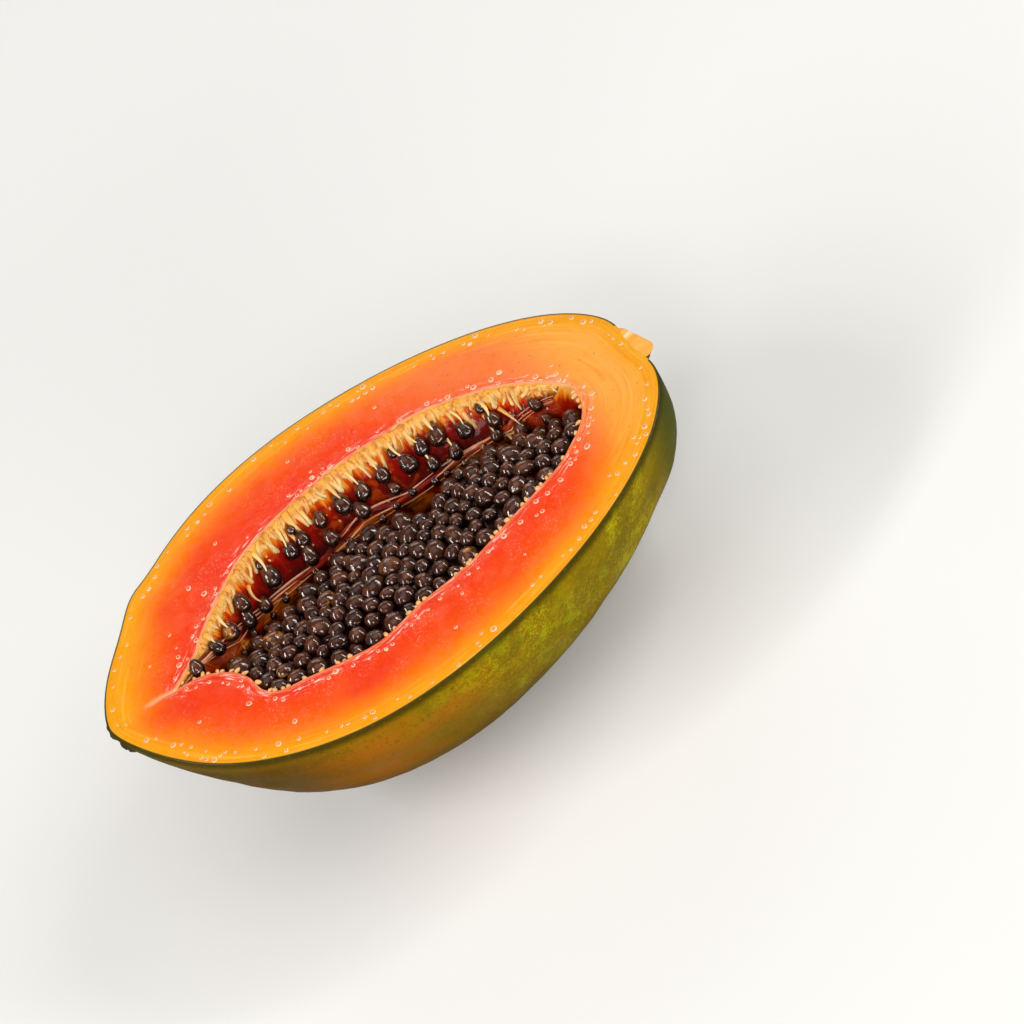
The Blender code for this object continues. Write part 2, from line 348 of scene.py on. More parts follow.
    def outline_angles(self, count: int) -> Array:
        """Compass angles of evenly spaced points round the cut face, from the blossom end.

        Args:
            count: Number of points.

        Returns:
            Angles in radians, from the widest place.
        """
        angles = np.linspace(math.pi, 0.0, 3000)
        reach = path_length(self.skin(angles, np.zeros_like(angles)))
        half = np.interp(np.linspace(0.0, reach[-1], count // 2 + 1), reach, angles)
        return np.concatenate([half[:-1], -half[:0:-1]])

    def outline(self, count: int) -> Array:
        """Evenly spaced points of the cut face's edge, in the plane."""
        return self.skin(self.outline_angles(count), np.zeros(count))[:, :2]

    def rim_half(self, side: Side, count: int) -> Array:
        """Evenly spaced points of one side of the hollow's rim, by a smooth curve.

        Args:
            side: Side of the hollow.
            count: Number of points.

        Returns:
            Points in the plane, from one end of the side to the other.
        """
        knots = np.array(self.far_rim if side is Side.FAR else self.near_rim)
        knots = np.vstack([knots[0], knots, knots[-1]])
        t = np.linspace(0.0, 1.0, 13)[:-1, None]
        dense = [
            0.5 * (2.0 * b + (c - a) * t + (2.0 * a - 5.0 * b + 4.0 * c - d) * t ** 2
                   + (3.0 * b - a - 3.0 * c + d) * t ** 3)
            for a, b, c, d in zip(knots, knots[1:], knots[2:], knots[3:])
        ]
        return resample(np.vstack([*dense, knots[-1:]]), count)

    def rim(self, count: int) -> Array:
        """Closed rim of the hollow, from its pointed end round the far side.

        Args:
            count: Number of points.

        Returns:
            Points in the plane.
        """
        half = count // 2 + 1
        far, near = self.rim_half(Side.FAR, half), self.rim_half(Side.NEAR, half)
        return np.vstack([far[:-1], near[:-1]])

    def rim_y(self, side: Side, x: Array) -> Array:
        """y of the rim at x on one side.

        Args:
            side: Side of the hollow.
            x: Places along the fruit.

        Returns:
            One y for each x.
        """
        line = self.rim_half(side, 240)
        order = np.argsort(line[:, 0])
        return np.interp(x, line[order, 0], line[order, 1])

    def wall(self, rim: Array, depth: Array | float) -> Array:
        """Points of the hollow's wall below rim points.

        Args:
            rim: Rim points in the plane, one a row.
            depth: Depth below the cut face, one for all or one a point.

        Returns:
            Points in millimetres, one a row.
        """
        depth = np.broadcast_to(np.asarray(depth, float), len(rim))
        spine = np.stack([np.clip(rim[:, 0], *self.spine), np.zeros(len(rim))], 1)
        far = smooth(-8.0, 12.0, rim[:, 1])
        lean = [np.interp(depth, *np.array(table).T) for table in (self.near_wall, self.far_wall)]
        share = (lean[0] * (1.0 - far) + lean[1] * far)[:, None]
        plan = rim * (1.0 - share) + spine * share
        return np.column_stack([plan, -depth])

    def heap(self, x: Array, y: Array) -> Array:
        """Height of the heap of seeds over the hollow.

        Args:
            x: Places along the fruit.
            y: Places across the fruit.

        Returns:
            Heights in millimetres, below 0.
        """
        x = np.clip(x, *self.heap_ends)
        near, far = self.rim_y(Side.NEAR, x), self.rim_y(Side.FAR, x)
        share = np.clip((y - near) / np.maximum(6.0, far - near), 0.0, 1.1)
        return -self.heap_drop - self.heap_fall * (share / 0.8) ** 2

    def heap_middle(self) -> Array:
        """Middle of the heap in the plane."""
        return np.array([0.5 * sum(self.spine), -4.0])


class NodeWriter:
    """Short way to write the nodes of one tree."""

    def __init__(self, tree: bpy.types.NodeTree) -> None:
        """Keep the tree's nodes and links at hand."""
        self.nodes, self.links = tree.nodes, tree.links

    def put(self, socket: Socket, value: object) -> None:
        """Link an output to a socket, or set its value.

        Args:
            socket: Input of a node.
            value: Output to link, or a plain value.
        """
        if isinstance(value, bpy.types.NodeSocket):
            self.links.new(value, socket)
        else:
            socket.default_value = value

    def math(self, kind: str, a: object, b: object = 0.0, clamp: bool = False) -> Socket:
        """One Math node.

        Args:
            kind: Operation of the node.
            a: First value or output.
            b: Second value or output.
            clamp: True to keep the result within 0 and 1.

        Returns:
            The result.
        """
        node = self.nodes.new("ShaderNodeMath")
        node.operation, node.use_clamp = kind, clamp
        self.put(node.inputs[0], a)
        self.put(node.inputs[1], b)
        return node.outputs[0]

    def times(self, a: object, b: object, clamp: bool = False) -> Socket:
        """Product of two values."""
        return self.math("MULTIPLY", a, b, clamp)


class Graph(NodeWriter):
    """Short way to write a material's nodes."""

    def __init__(self, name: str) -> None:
        """Start a material with one Principled shader.

        Args:
            name: Name of the material.
        """
        self.material = bpy.data.materials.new(name)
        self.material.use_nodes = True
        super().__init__(self.material.node_tree)
        self.shader = self.nodes["Principled BSDF"]
        self.coord = self.nodes.new("ShaderNodeTexCoord").outputs["Object"]

    def value(self, name: str) -> Socket:
        """A number that the mesh carries.

        Args:
            name: Name of the attribute.

        Returns:
            The number.
        """
        node = self.nodes.new("ShaderNodeAttribute")
        node.attribute_name = name
        return node.outputs["Fac"]

    def uv(self, name: str) -> Socket:
        """The piece's own UV map.

        Args:
            name: Name of the map.

        Returns:
            The coordinate.
        """
        node = self.nodes.new("ShaderNodeUVMap")
        node.uv_map = name
        return node.outputs["UV"]

    def span(self, value: object, low: float, high: float, start: float = 0.0,
             end: float = 1.0) -> Socket:
        """Smooth step of a value from one range to another.

        Args:
            value: Value or output to map.
            low: Start of its range.
            high: End of its range.
            start: Result at the start.
            end: Result at the end.

        Returns:
            The mapped value.
        """
        node = self.nodes.new("ShaderNodeMapRange")
        node.interpolation_type = "SMOOTHSTEP"
        self.put(node.inputs["Value"], value)
        for name, number in zip(("From Min", "From Max", "To Min", "To Max"),
                                (low, high, start, end)):
            node.inputs[name].default_value = number
        return node.outputs["Result"]

    def stretch(self, vector: Socket, scale: Triple) -> Socket:
        """Scale a coordinate along each axis.

        Args:
            vector: Coordinate.
            scale: Factor along each axis.

        Returns:
            The scaled coordinate.
        """
        node = self.nodes.new("ShaderNodeMapping")
        self.put(node.inputs["Vector"], vector)
        node.inputs["Scale"].default_value = scale
        return node.outputs["Vector"]

    def noise(self, scale: float, detail: float = 3.0, vector: Socket | None = None,
              rough: float = 0.55, twist: float = 0.0) -> Socket:
        """Noise from 0 to 1.

        Args:
            scale: Scale of the pattern.
            detail: Number of finer layers.
            vector: Coordinate; the object's own if none.
            rough: Share of the finer layers.
            twist: Distortion of the pattern.

        Returns:
            The value.
        """
        node = self.nodes.new("ShaderNodeTexNoise")
        self.put(node.inputs["Vector"], vector or self.coord)
        for name, number in (("Scale", scale), ("Detail", detail), ("Roughness", rough),
                             ("Distortion", twist)):
            node.inputs[name].default_value = number
        return node.outputs["Fac"]

    def cells(self, scale: float) -> Socket:
        """Distance to the nearest of scattered points.

        Args:
            scale: Scale of the pattern.

        Returns:
            The distance.
        """
        node = self.nodes.new("ShaderNodeTexVoronoi")
        self.put(node.inputs["Vector"], self.coord)
        node.inputs["Scale"].default_value = scale
        return node.outputs["Distance"]

    def ramp(self, value: Socket, stops: Stops) -> Socket:
        """Colour ramp through display colours.

        Args:
            value: Place on the ramp.
            stops: Places and display colours.

        Returns:
            The colour.
        """
        node = self.nodes.new("ShaderNodeValToRGB")
        self.put(node.inputs["Fac"], value)
        points = node.color_ramp.elements
        for k, (place, code) in enumerate(stops):
            point = points[k] if k < 2 else points.new(place)
            point.position, point.color = place, srgb(code)
        return node.outputs["Color"]

    def mix(self, share: object, first: object, second: object) -> Socket:
        """Blend of two colours.

        Args:
            share: Share of the second colour.
            first: Output or display colour.
            second: Output or display colour.

        Returns:
            The colour.
        """
        node = self.nodes.new("ShaderNodeMix")
        node.data_type = "RGBA"
        self.put(node.inputs[0], share)
        for socket, colour in ((node.inputs[6], first), (node.inputs[7], second)):
            self.put(socket, srgb(colour) if isinstance(colour, str) else colour)
        return node.outputs[2]

    def bump(self, height: Socket, distance: float, strength: float = 1.0,
             after: Socket | None = None) -> Socket:
        """Bump from a height; distance is in millimetres.

        Args:
            height: Height of the relief.
            distance: Its depth in millimetres.
            strength: Its strength.
            after: Normal of coarser relief, if there is any.

        Returns:
            The normal.
        """
        node = self.nodes.new("ShaderNodeBump")
        node.inputs["Strength"].default_value = strength
        node.inputs["Distance"].default_value = distance * MM
        self.put(node.inputs["Height"], height)
        if after:
            self.put(node.inputs["Normal"], after)
        return node.outputs["Normal"]

    def finish(self, colour: object, rough: object, normal: Socket | None = None,
               **constants: object) -> Material:
        """Set the shader's sockets and hand the material over.

        Args:
            colour: Base colour, as an output or a display colour.
            rough: Roughness, as an output or a number.
            normal: Normal output, if there is relief.
            **constants: Other sockets by name, with underscores for spaces.

        Returns:
            The finished material.
        """
        sockets = self.shader.inputs
        self.put(sockets["Base Color"], srgb(colour) if isinstance(colour, str) else colour)
        self.put(sockets["Roughness"], rough)
        if normal:
            self.put(sockets["Normal"], normal)
        for name, number in constants.items():
            sockets[name.replace("_", " ")].default_value = number
        return self.material


@dataclass(frozen=True)
class FleshFinish:
    """Moist cut flesh: golden under the skin, coral at the hollow, peach at the stem."""

    bands: Stops = (
        (0.0, "#f3a008"), (0.1, "#f8a306"), (0.18, "#f99606"), (0.27, "#fb8006"),
        (0.38, "#fa6a06"), (0.5, "#f85708"), (0.66, "#f7480a"), (0.82, "#f63f0d"),
        (1.0, "#f0401f"),
    )
    full_mm: float = 26.0

    def build(self) -> Material:
        """Build the material.

        Returns:
            The material.
        """
        g = Graph("papaya_flesh")
        ripe = g.value("ripe")
        grain = g.uv("grain")
        cloud = g.noise(90.0, 3.0)
        drift = g.math("ADD", g.times(cloud, 0.16), -0.08)
        level = g.math("ADD", g.times(ripe, 1.0 / self.full_mm), drift, clamp=True)
        colour = g.ramp(level, self.bands)

        peach = g.mix(g.span(g.value("along_mm"), 148.0, 172.0), "#f97f3a", "#fcab46")
        colour = g.mix(g.times(g.value("pale"), 0.92), colour, peach)

        strokes = g.noise(1.0, 3.0, g.stretch(grain, (0.035, 1.1, 1.0)), 0.6, 0.4)
        band = g.span(ripe, 9.0, 2.0)
        light = g.times(g.span(strokes, 0.52, 0.68, 0.0, 0.75), band)
        colour = g.mix(light, colour, "#fdb93a")
        deep = g.times(g.span(strokes, 0.47, 0.34, 0.0, 0.5), g.span(ripe, 12.0, 3.0))
        colour = g.mix(deep, colour, "#f5860c")

        blotch = g.span(g.noise(160.0, 4.0, None, 0.62), 0.5, 0.72, 0.0, 0.4)
        coral = g.times(g.span(ripe, 8.0, 15.0), g.math("SUBTRACT", 1.0, g.value("pale")))
        colour = g.mix(g.times(blotch, coral), colour, "#fb6a3e")
        fire = g.span(g.noise(45.0, 2.0, None, 0.5), 0.5, 0.7, 0.0, 0.6)
        colour = g.mix(g.times(fire, coral), colour, "#f02c10")
        rose = g.span(g.noise(38.0, 3.0, None, 0.6, 0.4), 0.56, 0.72, 0.0, 0.55)
        colour = g.mix(g.times(rose, g.span(ripe, 15.0, 22.0)), colour, "#fb3a33")

        grains = g.span(g.cells(1150.0), 0.42, 0.2)
        patches = g.span(g.noise(110.0, 3.0, None, 0.6), 0.42, 0.6, 0.0, 0.6)
        where = g.times(patches, g.span(ripe, 4.0, 12.0))
        colour = g.mix(g.times(grains, where), colour, "#ff8560")

        rim = g.value("rim_mm")
        along_rim = g.noise(1.0, 3.0, g.stretch(grain, (0.16, 1.3, 1.0)), 0.6, 0.6)
        # Painted highlights: pale pink patches and whiter glints along the hollow's rim stand in
        # for the shine of the wet flesh.
        wet = g.times(g.span(rim, 4.6, 1.6), g.span(along_rim, 0.53, 0.63))
        colour = g.mix(g.times(wet, 0.8), colour, "#ff9a8c")
        glint = g.times(g.span(rim, 4.4, 2.4), g.span(along_rim, 0.6, 0.66))
        colour = g.mix(g.times(glint, 0.85), colour, "#ffe0d0")
        blood = g.times(g.span(rim, 3.2, 1.4), g.span(along_rim, 0.45, 0.36))
        colour = g.mix(g.times(blood, 0.7), colour, "#d81c14")
        broken = g.span(g.noise(170.0, 3.0, None, 0.6), 0.32, 0.5, 0.35, 1.0)
        lip = g.times(g.span(rim, 1.35, 0.75), broken)
        lip = g.times(lip, g.span(g.value("far"), 0.0, 1.0, 0.35, 1.0))
        colour = g.mix(lip, colour, "#fba465")
        # Painted highlight: a pale line along the shallow crease.
        colour = g.mix(g.times(g.value("crease"), 0.85), colour, "#ffc08a")
        flecks = g.times(g.span(g.cells(330.0), 0.12, 0.06), g.value("pale"))
        colour = g.mix(g.times(flecks, 0.6), colour, "#8a5a3a")
        rind = g.span(g.value("edge_mm"), 0.75, 0.42)
        colour = g.mix(rind, colour, "#3d3a06")

        fine = g.bump(g.noise(1500.0, 3.0), 0.05, 0.5)
        pulp = g.bump(g.noise(350.0, 4.0, None, 0.6), 0.16, 0.6, fine)
        lines = g.bump(strokes, 0.12, 0.4, pulp)
        rough = g.span(g.noise(220.0, 3.0), 0.35, 0.7, 0.24, 0.42)
        return g.finish(
            colour, rough, lines, Subsurface_Weight=0.1, Subsurface_Scale=0.0015,
            Subsurface_Radius=(1.0, 0.35, 0.12), Specular_IOR_Level=0.28, Coat_Weight=0.1,
            Coat_Roughness=0.12, Coat_IOR=WATER_IOR,
        )


@dataclass(frozen=True)
class SkinFinish:
    """Thin skin: olive with yellow-green mottle, dark green at the stem, an orange blush."""

    def build(self) -> Material:
        """Build the material.

        Returns:
            The material.
        """
        g = Graph("papaya_skin")
        along, low = g.value("along_mm"), g.value("below_mm")
        cloud = g.noise(26.0, 4.0, None, 0.6, 0.3)
        colour = g.ramp(cloud, ((0.3, "#675602"), (0.45, "#7c6402"), (0.58, "#866a02"),
                                (0.72, "#907403")))
        mottle = g.span(g.noise(150.0, 5.0, None, 0.72), 0.47, 0.62)
        belt = g.times(g.span(along, 62.0, 100.0), g.span(along, 176.0, 150.0))
        belt = g.times(belt, g.span(g.noise(30.0, 2.0), 0.36, 0.56, 0.25, 0.9))
        colour = g.mix(g.times(mottle, belt), colour, "#9c9604")
        grit = g.span(g.noise(1300.0, 3.0, None, 0.7), 0.5, 0.62)
        colour = g.mix(g.times(g.times(grit, belt), 0.6), colour, "#bcb40c")
        blush = g.times(g.span(along, 112.0, 62.0), g.span(low, 2.0, 12.0, 0.35, 0.95))
        patchy = g.span(g.noise(34.0, 4.0, None, 0.62, 0.5), 0.36, 0.56, 0.25, 1.0)
        colour = g.mix(g.times(blush, patchy), colour, "#9c5802")
        moss = g.times(g.span(g.noise(55.0, 4.0, None, 0.66), 0.52, 0.66), 0.5)
        colour = g.mix(moss, colour, "#5c5106")
        green = g.times(g.span(along, 154.0, 180.0), 0.92)
        colour = g.mix(green, colour, "#343f08")
        # Painted shade: the skin is darker along the grooves between the lobes.
        colour = g.mix(g.times(g.value("groove"), 0.4), colour, "#4c4505")
        colour = g.mix(g.span(low, 4.2, 0.8, 0.0, 0.85), colour, "#332a03")
        # Painted shade: the skin darkens low down, towards its resting spot.
        colour = g.mix(g.span(low, 20.0, 42.0, 0.0, 0.75), colour, "#3e2c01")
        # Darker towards the blossom end and further down the skin.
        darker_tip_end = g.times(g.span(along, 58.0, 26.0), g.span(low, 0.8, 7.0, 0.45, 0.85))
        colour = g.mix(darker_tip_end, colour, "#3f2f01")
        dark = g.span(g.noise(900.0, 4.0, None, 0.7), 0.52, 0.66, 0.0, 0.5)
        colour = g.mix(dark, colour, "#4a3e04")
        pores = g.span(g.cells(700.0), 0.22, 0.1, 0.0, 0.14)
        colour = g.mix(pores, colour, "#b8a512")
        waves = g.bump(g.noise(70.0, 3.0), 0.35, 0.35)
        fine = g.bump(g.noise(900.0, 4.0, None, 0.65), 0.06, 0.5, waves)
        rough = g.span(g.noise(90.0, 3.0), 0.3, 0.7, 0.42, 0.58)
        return g.finish(colour, rough, fine, Specular_IOR_Level=0.015)


@dataclass(frozen=True)
class HollowFinish:
    """Wet wall of the hollow: cream at its rim, dark red below, orange round the ridge."""

    def build(self) -> Material:
        """Build the material.

        Returns:
            The material.
        """
        g = Graph("hollow_wall")
        depth, far, under = g.value("depth_mm"), g.value("far"), g.value("under_mm")
        drips = g.noise(1.0, 3.0, g.stretch(g.uv("grain"), (0.5, 0.07, 1.0)), 0.6, 0.3)
        reach = g.math("ADD", depth, g.times(g.math("SUBTRACT", drips, 0.5), -9.0))
        colour = g.ramp(
            g.times(reach, 1.0 / 14.0, clamp=True),
            ((0.0, "#f8b060"), (0.14, "#f6a238"), (0.25, "#ea8412"), (0.33, "#cc4404"),
             (0.42, "#a21202"), (0.6, "#880601"), (1.0, "#5e0401")),
        )
        wine = g.span(g.noise(140.0, 3.0), 0.45, 0.66, 0.0, 0.7)
        colour = g.mix(g.times(wine, g.span(depth, 3.5, 6.0)), colour, "#ac0c01")
        halo = g.span(g.noise(210.0, 3.0, None, 0.6, 0.8), 0.56, 0.66, 0.0, 0.8)
        colour = g.mix(g.times(halo, g.span(depth, 4.0, 7.0)), colour, "#c24406")
        streaks = g.noise(1.0, 3.0, g.stretch(g.uv("grain"), (0.12, 1.6, 1.0)), 0.6, 0.5)
        patch = g.span(g.noise(60.0, 3.0, None, 0.6, 0.6), 0.38, 0.52)
        film = g.times(g.span(under, 0.2, 0.8), g.span(under, 8.5, 5.0))
        film = g.times(film, patch)
        film = g.times(film, g.span(g.value("along_mm"), 152.0, 142.0, 0.15, 1.0))
        film = g.times(film, g.span(g.value("along_mm"), 32.0, 46.0, 0.25, 1.0))
        amber = g.ramp(streaks, ((0.36, "#a02203"), (0.5, "#d8620c"), (0.66, "#fa9a38")))
        colour = g.mix(g.times(film, 0.92), colour, amber)
        seam = g.times(g.span(under, -2.6, -0.9), g.span(under, 0.3, -0.4))
        colour = g.mix(g.times(seam, 0.8), colour, "#4a0301")
        # Painted shade: the wall darkens deep down in the hollow.
        colour = g.mix(g.span(depth, 17.0, 27.0, 0.0, 0.85), colour, "#2c0401")
        plain = g.times(g.math("SUBTRACT", 1.0, far), g.span(depth, 1.0, 4.0))
        colour = g.mix(g.times(plain, 0.7), colour, "#6e0d02")
        veins = g.bump(g.noise(1.0, 3.0, g.stretch(g.uv("grain"), (0.9, 0.18, 1.0))), 0.5, 0.5)
        pulp = g.bump(g.noise(420.0, 4.0), 0.2, 0.5, veins)
        return g.finish(colour, 0.3, pulp, Subsurface_Weight=0.1, Subsurface_Scale=0.001,
                        Subsurface_Radius=(1.0, 0.3, 0.1), Specular_IOR_Level=0.06,
                        Coat_Weight=0.35, Coat_Roughness=0.08, Coat_IOR=WATER_IOR)


@dataclass(frozen=True)
class SeedFinish:
    """Wet dark seeds in their clear sacs; each seed has its own tone, a painted sheen on its top
    and painted shade on its sides.
    """

    dark: str = "#1e0500"
    middle: str = "#341003"
    light: str = "#481b06"

    def build(self) -> Material:
        """Build the material.

        Returns:
            The material.
        """
        g = Graph("wet_seed")
        tone, up = g.value("tone"), g.value("up")
        colour = g.ramp(tone, ((0.0, self.dark), (0.5, self.middle), (1.0, self.light)))
        # Painted sheen: patches of lighter brown on the upward-facing tops of the seeds.
        painted_sheen_patches = g.span(g.noise(320.0, 3.0, None, 0.55, 1.0), 0.44, 0.64, 0.1, 0.65)
        crown = g.span(up, 0.4, 0.98)
        colour = g.mix(g.times(painted_sheen_patches, crown), colour, "#7f4320")
        cloud = g.span(g.noise(420.0, 4.0, None, 0.6), 0.45, 0.7, 0.0, 0.55)
        colour = g.mix(cloud, colour, "#1c0a06")
        rust = g.span(tone, 0.955, 0.97)
        rust = g.times(rust, g.span(g.noise(360.0, 2.0), 0.5, 0.6, 0.0, 0.8))
        colour = g.mix(rust, colour, "#c07a34")
        # Painted shade: the seeds darken on their sides and undersides, where they face away from
        # up.
        colour = g.mix(g.span(up, 0.6, 0.0, 0.0, 0.92), colour, "#100301")
        folds = g.noise(360.0, 2.0, None, 0.5, 1.4)
        warts = g.bump(g.noise(800.0, 4.0, None, 0.6), 0.2, 0.5, g.bump(folds, 0.45, 0.7))
        g.put(g.shader.inputs["Coat Normal"], g.bump(folds, 0.35, 0.5))
        return g.finish(colour, 0.3, warts, Specular_IOR_Level=0.14,
                        Specular_Tint=(1.0, 0.72, 0.58, 1.0), Coat_Weight=0.95,
                        Coat_Roughness=0.04, Coat_IOR=1.62, Subsurface_Weight=0.03,
                        Subsurface_Scale=0.0008)


@dataclass(frozen=True)
class PulpShadeFinish:
    """Wet pulp between the seeds, near-black as painted shade in the gaps."""

    def build(self) -> Material:
        """Build the material.

        Returns:
            The material.
        """
        g = Graph("pulp_painted_shade")
        cloud = g.noise(260.0, 4.0)
        # Painted shade: near-black pulp that shows as dark gaps between the seeds.
        colour = g.ramp(cloud, ((0.3, "#1c0300"), (0.6, "#300600"), (0.8, "#5c1000")))
        relief = g.bump(g.noise(700.0, 3.0), 0.4, 0.6)
        return g.finish(colour, 0.4, relief, Specular_IOR_Level=0.2, Coat_Weight=0.4,
                        Coat_Roughness=0.1, Coat_IOR=WATER_IOR)


@dataclass(frozen=True)
class TissueFinish:
    """Soft wet tissue, from one display colour at its root to another at its tip."""

    name: str
    root: str
    tip: str
    shade: str
    rough: float = 0.3
    dark_blotches: float = 0.0

    def build(self) -> Material:
        """Build the material.

        Returns:
            The material.
        """
        g = Graph(self.name)
        colour = g.mix(g.value("run"), self.root, self.tip)
        colour = g.mix(g.span(g.value("tone"), 0.4, 1.0, 0.0, 0.45), colour, self.shade)
        cloud = g.span(g.noise(350.0, 3.0), 0.45, 0.7, 0.0, 0.35)
        colour = g.mix(cloud, colour, self.root)
        if self.dark_blotches:
            # Darker orange blotches, most near the roots.
            dark_blotches = g.span(g.noise(480.0, 3.0, None, 0.6, 0.6), 0.5, 0.64, 0.0, self.dark_blotches)
            dark_blotches = g.times(dark_blotches, g.span(g.value("run"), 0.75, 0.2))
            colour = g.mix(dark_blotches, colour, "#d05c0a")
        relief = g.bump(g.noise(900.0, 3.0), 0.12, 0.5)
        return g.finish(colour, self.rough, relief, Subsurface_Weight=0.3,
                        Subsurface_Scale=0.0015, Subsurface_Radius=(1.0, 0.6, 0.25),
                        Specular_IOR_Level=0.3, Coat_Weight=0.4, Coat_Roughness=0.12,
                        Coat_IOR=WATER_IOR)


@dataclass(frozen=True)
class JuiceFinish:
    """Clear beads of juice with a pale cream rim, a painted highlight."""

    def build(self) -> Material:
        """Build the material.

        Returns:
            The material.
        """
        g = Graph("juice_bead")
        # Painted highlight: the beads are paler and more opaque round their rim than in their
        # middle.
        ring = g.span(g.value("run"), 0.84, 0.66)
        colour = g.mix(g.noise(300.0, 2.0), "#ffdfa6", "#fff4d6")
        g.put(g.shader.inputs["Alpha"], g.span(ring, 0.0, 1.0, 0.12, 0.72))
        return g.finish(colour, 0.15, None, Specular_IOR_Level=0.25, Coat_Weight=0.2,
                        Coat_Roughness=0.05, Coat_IOR=WATER_IOR)


class MeshMaker:
    """Collects points, faces and numbers, and makes one mesh piece of them."""

    def __init__(self) -> None:
        """Start empty."""
        self.points: list[Array] = []
        self.faces: list[tuple[int, ...]] = []
        self.values: dict[str, list[Array]] = {}
        self.zones: list[int] = []
        self.uvs: list[tuple[float, float]] = []
        self.count = 0

    def add(self, points: Array, **values: Array | float) -> Array:
        """Add points with their numbers and return their indices.

        Args:
            points: Points, one a row.
            **values: Numbers by name, one for all or one a point.

        Returns:
            Indices of the points.
        """
        points = np.atleast_2d(points)
        self.points.append(points)
        for name, numbers in values.items():
            self.values.setdefault(name, []).append(np.broadcast_to(numbers, len(points)))
        start, self.count = self.count, self.count + len(points)
        return np.arange(start, self.count)

    def strip(self, first: Array, second: Array, zone: int = 0, closed: bool = True,
              across: tuple[float, float] = (0.0, 1.0), around: Array | None = None) -> None:
        """Quads between two rows of points.

        Args:
            first: Indices of the first row.
            second: Indices of the second row.
            zone: Material slot of the faces.
            closed: True where the rows are rings.
            across: UV v of the first and the second row.
            around: UV u of the points, one more than the ring has.
        """
        size = len(first)
        steps = size if closed else size - 1
        reach = np.arange(size + 1.0) if around is None else around
        for i in range(steps):
            j = (i + 1) % size
            self.faces.append((first[i], first[j], second[j], second[i]))
            self.zones.append(zone)
            self.uvs += [(reach[i], across[0]), (reach[i + 1], across[0]),
                         (reach[i + 1], across[1]), (reach[i], across[1])]

    def cap(self, ring: Array, centre: int, zone: int = 0, flip: bool = False) -> None:
        """Close a ring with triangles to one point.

        Args:
            ring: Indices of the ring.
            centre: Index of the point.
            zone: Material slot of the faces.
            flip: True to turn the faces round.
        """
        for i, first in enumerate(ring):
            second = ring[(i + 1) % len(ring)]
            self.faces.append((second, first, centre) if flip else (first, second, centre))
            self.zones.append(zone)
            self.uvs += [(float(i), 0.0), (i + 1.0, 0.0), (i + 0.5, 1.0)]

    def shell(self, rings: list[Array], ends: list[int]) -> None:
        """Close rings into one skin, with a point at each end.

        Args:
            rings: Indices of each ring.
            ends: Indices of the two end points.
        """
        for first, second in zip(rings, rings[1:]):
            self.strip(second, first)
        self.cap(rings[0], ends[0])
        self.cap(rings[-1], ends[1], flip=True)

    def tube(self, path: Array, radii: Array, sides: int = 6, flat: float = 1.0,
             up: Triple = WALL_FACES, **values: float) -> None:
        """Closed tube along a path, with a radius at each point and pointed ends.

        Args:
            path: Points of the middle line.
            radii: Radius at each point.
            sides: Number of sides.
            flat: Thickness of the section for its width.
            up: Direction of the thin way of the section.
            **values: Numbers that all its points carry.
        """
        run = np.gradient(path, axis=0)
        run /= np.linalg.norm(run, axis=1)[:, None]
        side = np.cross(run, np.array(up))
        side /= np.maximum(np.linalg.norm(side, axis=1), 1e-6)[:, None]
        lift = np.cross(side, run)
        turn = circle(sides)
        rows = []
        for k, (centre, radius) in enumerate(zip(path, radii)):
            ring = centre + radius * (np.cos(turn)[:, None] * side[k]
                                      + flat * np.sin(turn)[:, None] * lift[k])
            share = k / (len(path) - 1.0)
            rows.append(self.add(ring, run=share, **values))
        ends = [self.add(path[k] + run[k] * radii[k] * sign * 0.6, run=float(k != 0), **values)[0]
                for k, sign in ((0, -1.0), (-1, 1.0))]
        self.shell(rows, ends)

    def piece(self, name: str, place: Placement, materials: list[Material],
              uv: str | None = None) -> Piece:
        """Make the mesh object, with outward faces and smooth shading.

        Args:
            name: Name of the piece.
            place: Placement in the frame.
            materials: Materials, in the order of their slots.
            uv: Name of the UV map, if it has one.

        Returns:
            The finished object.
        """
        mesh = bpy.data.meshes.new(name)
        points = place.metres(np.vstack(self.points))
        mesh.from_pydata(points.tolist(), [], [tuple(map(int, f)) for f in self.faces])
        for material in materials:
            mesh.materials.append(material)
        mesh.polygons.foreach_set("material_index", self.zones)
        for key, parts in self.values.items():
            layer = mesh.attributes.new(key, "FLOAT", "POINT")
            layer.data.foreach_set("value", np.concatenate(parts).astype(np.float32))
        if uv:
            layer = mesh.uv_layers.new(name=uv)
            layer.data.foreach_set("uv", np.array(self.uvs, np.float32).ravel())
        work = bmesh.new()
        work.from_mesh(mesh)
        bmesh.ops.recalc_face_normals(work, faces=work.faces)
        work.to_mesh(mesh)
        work.free()
        mesh.shade_smooth()
        mesh.update()
        return add_object(name, mesh)


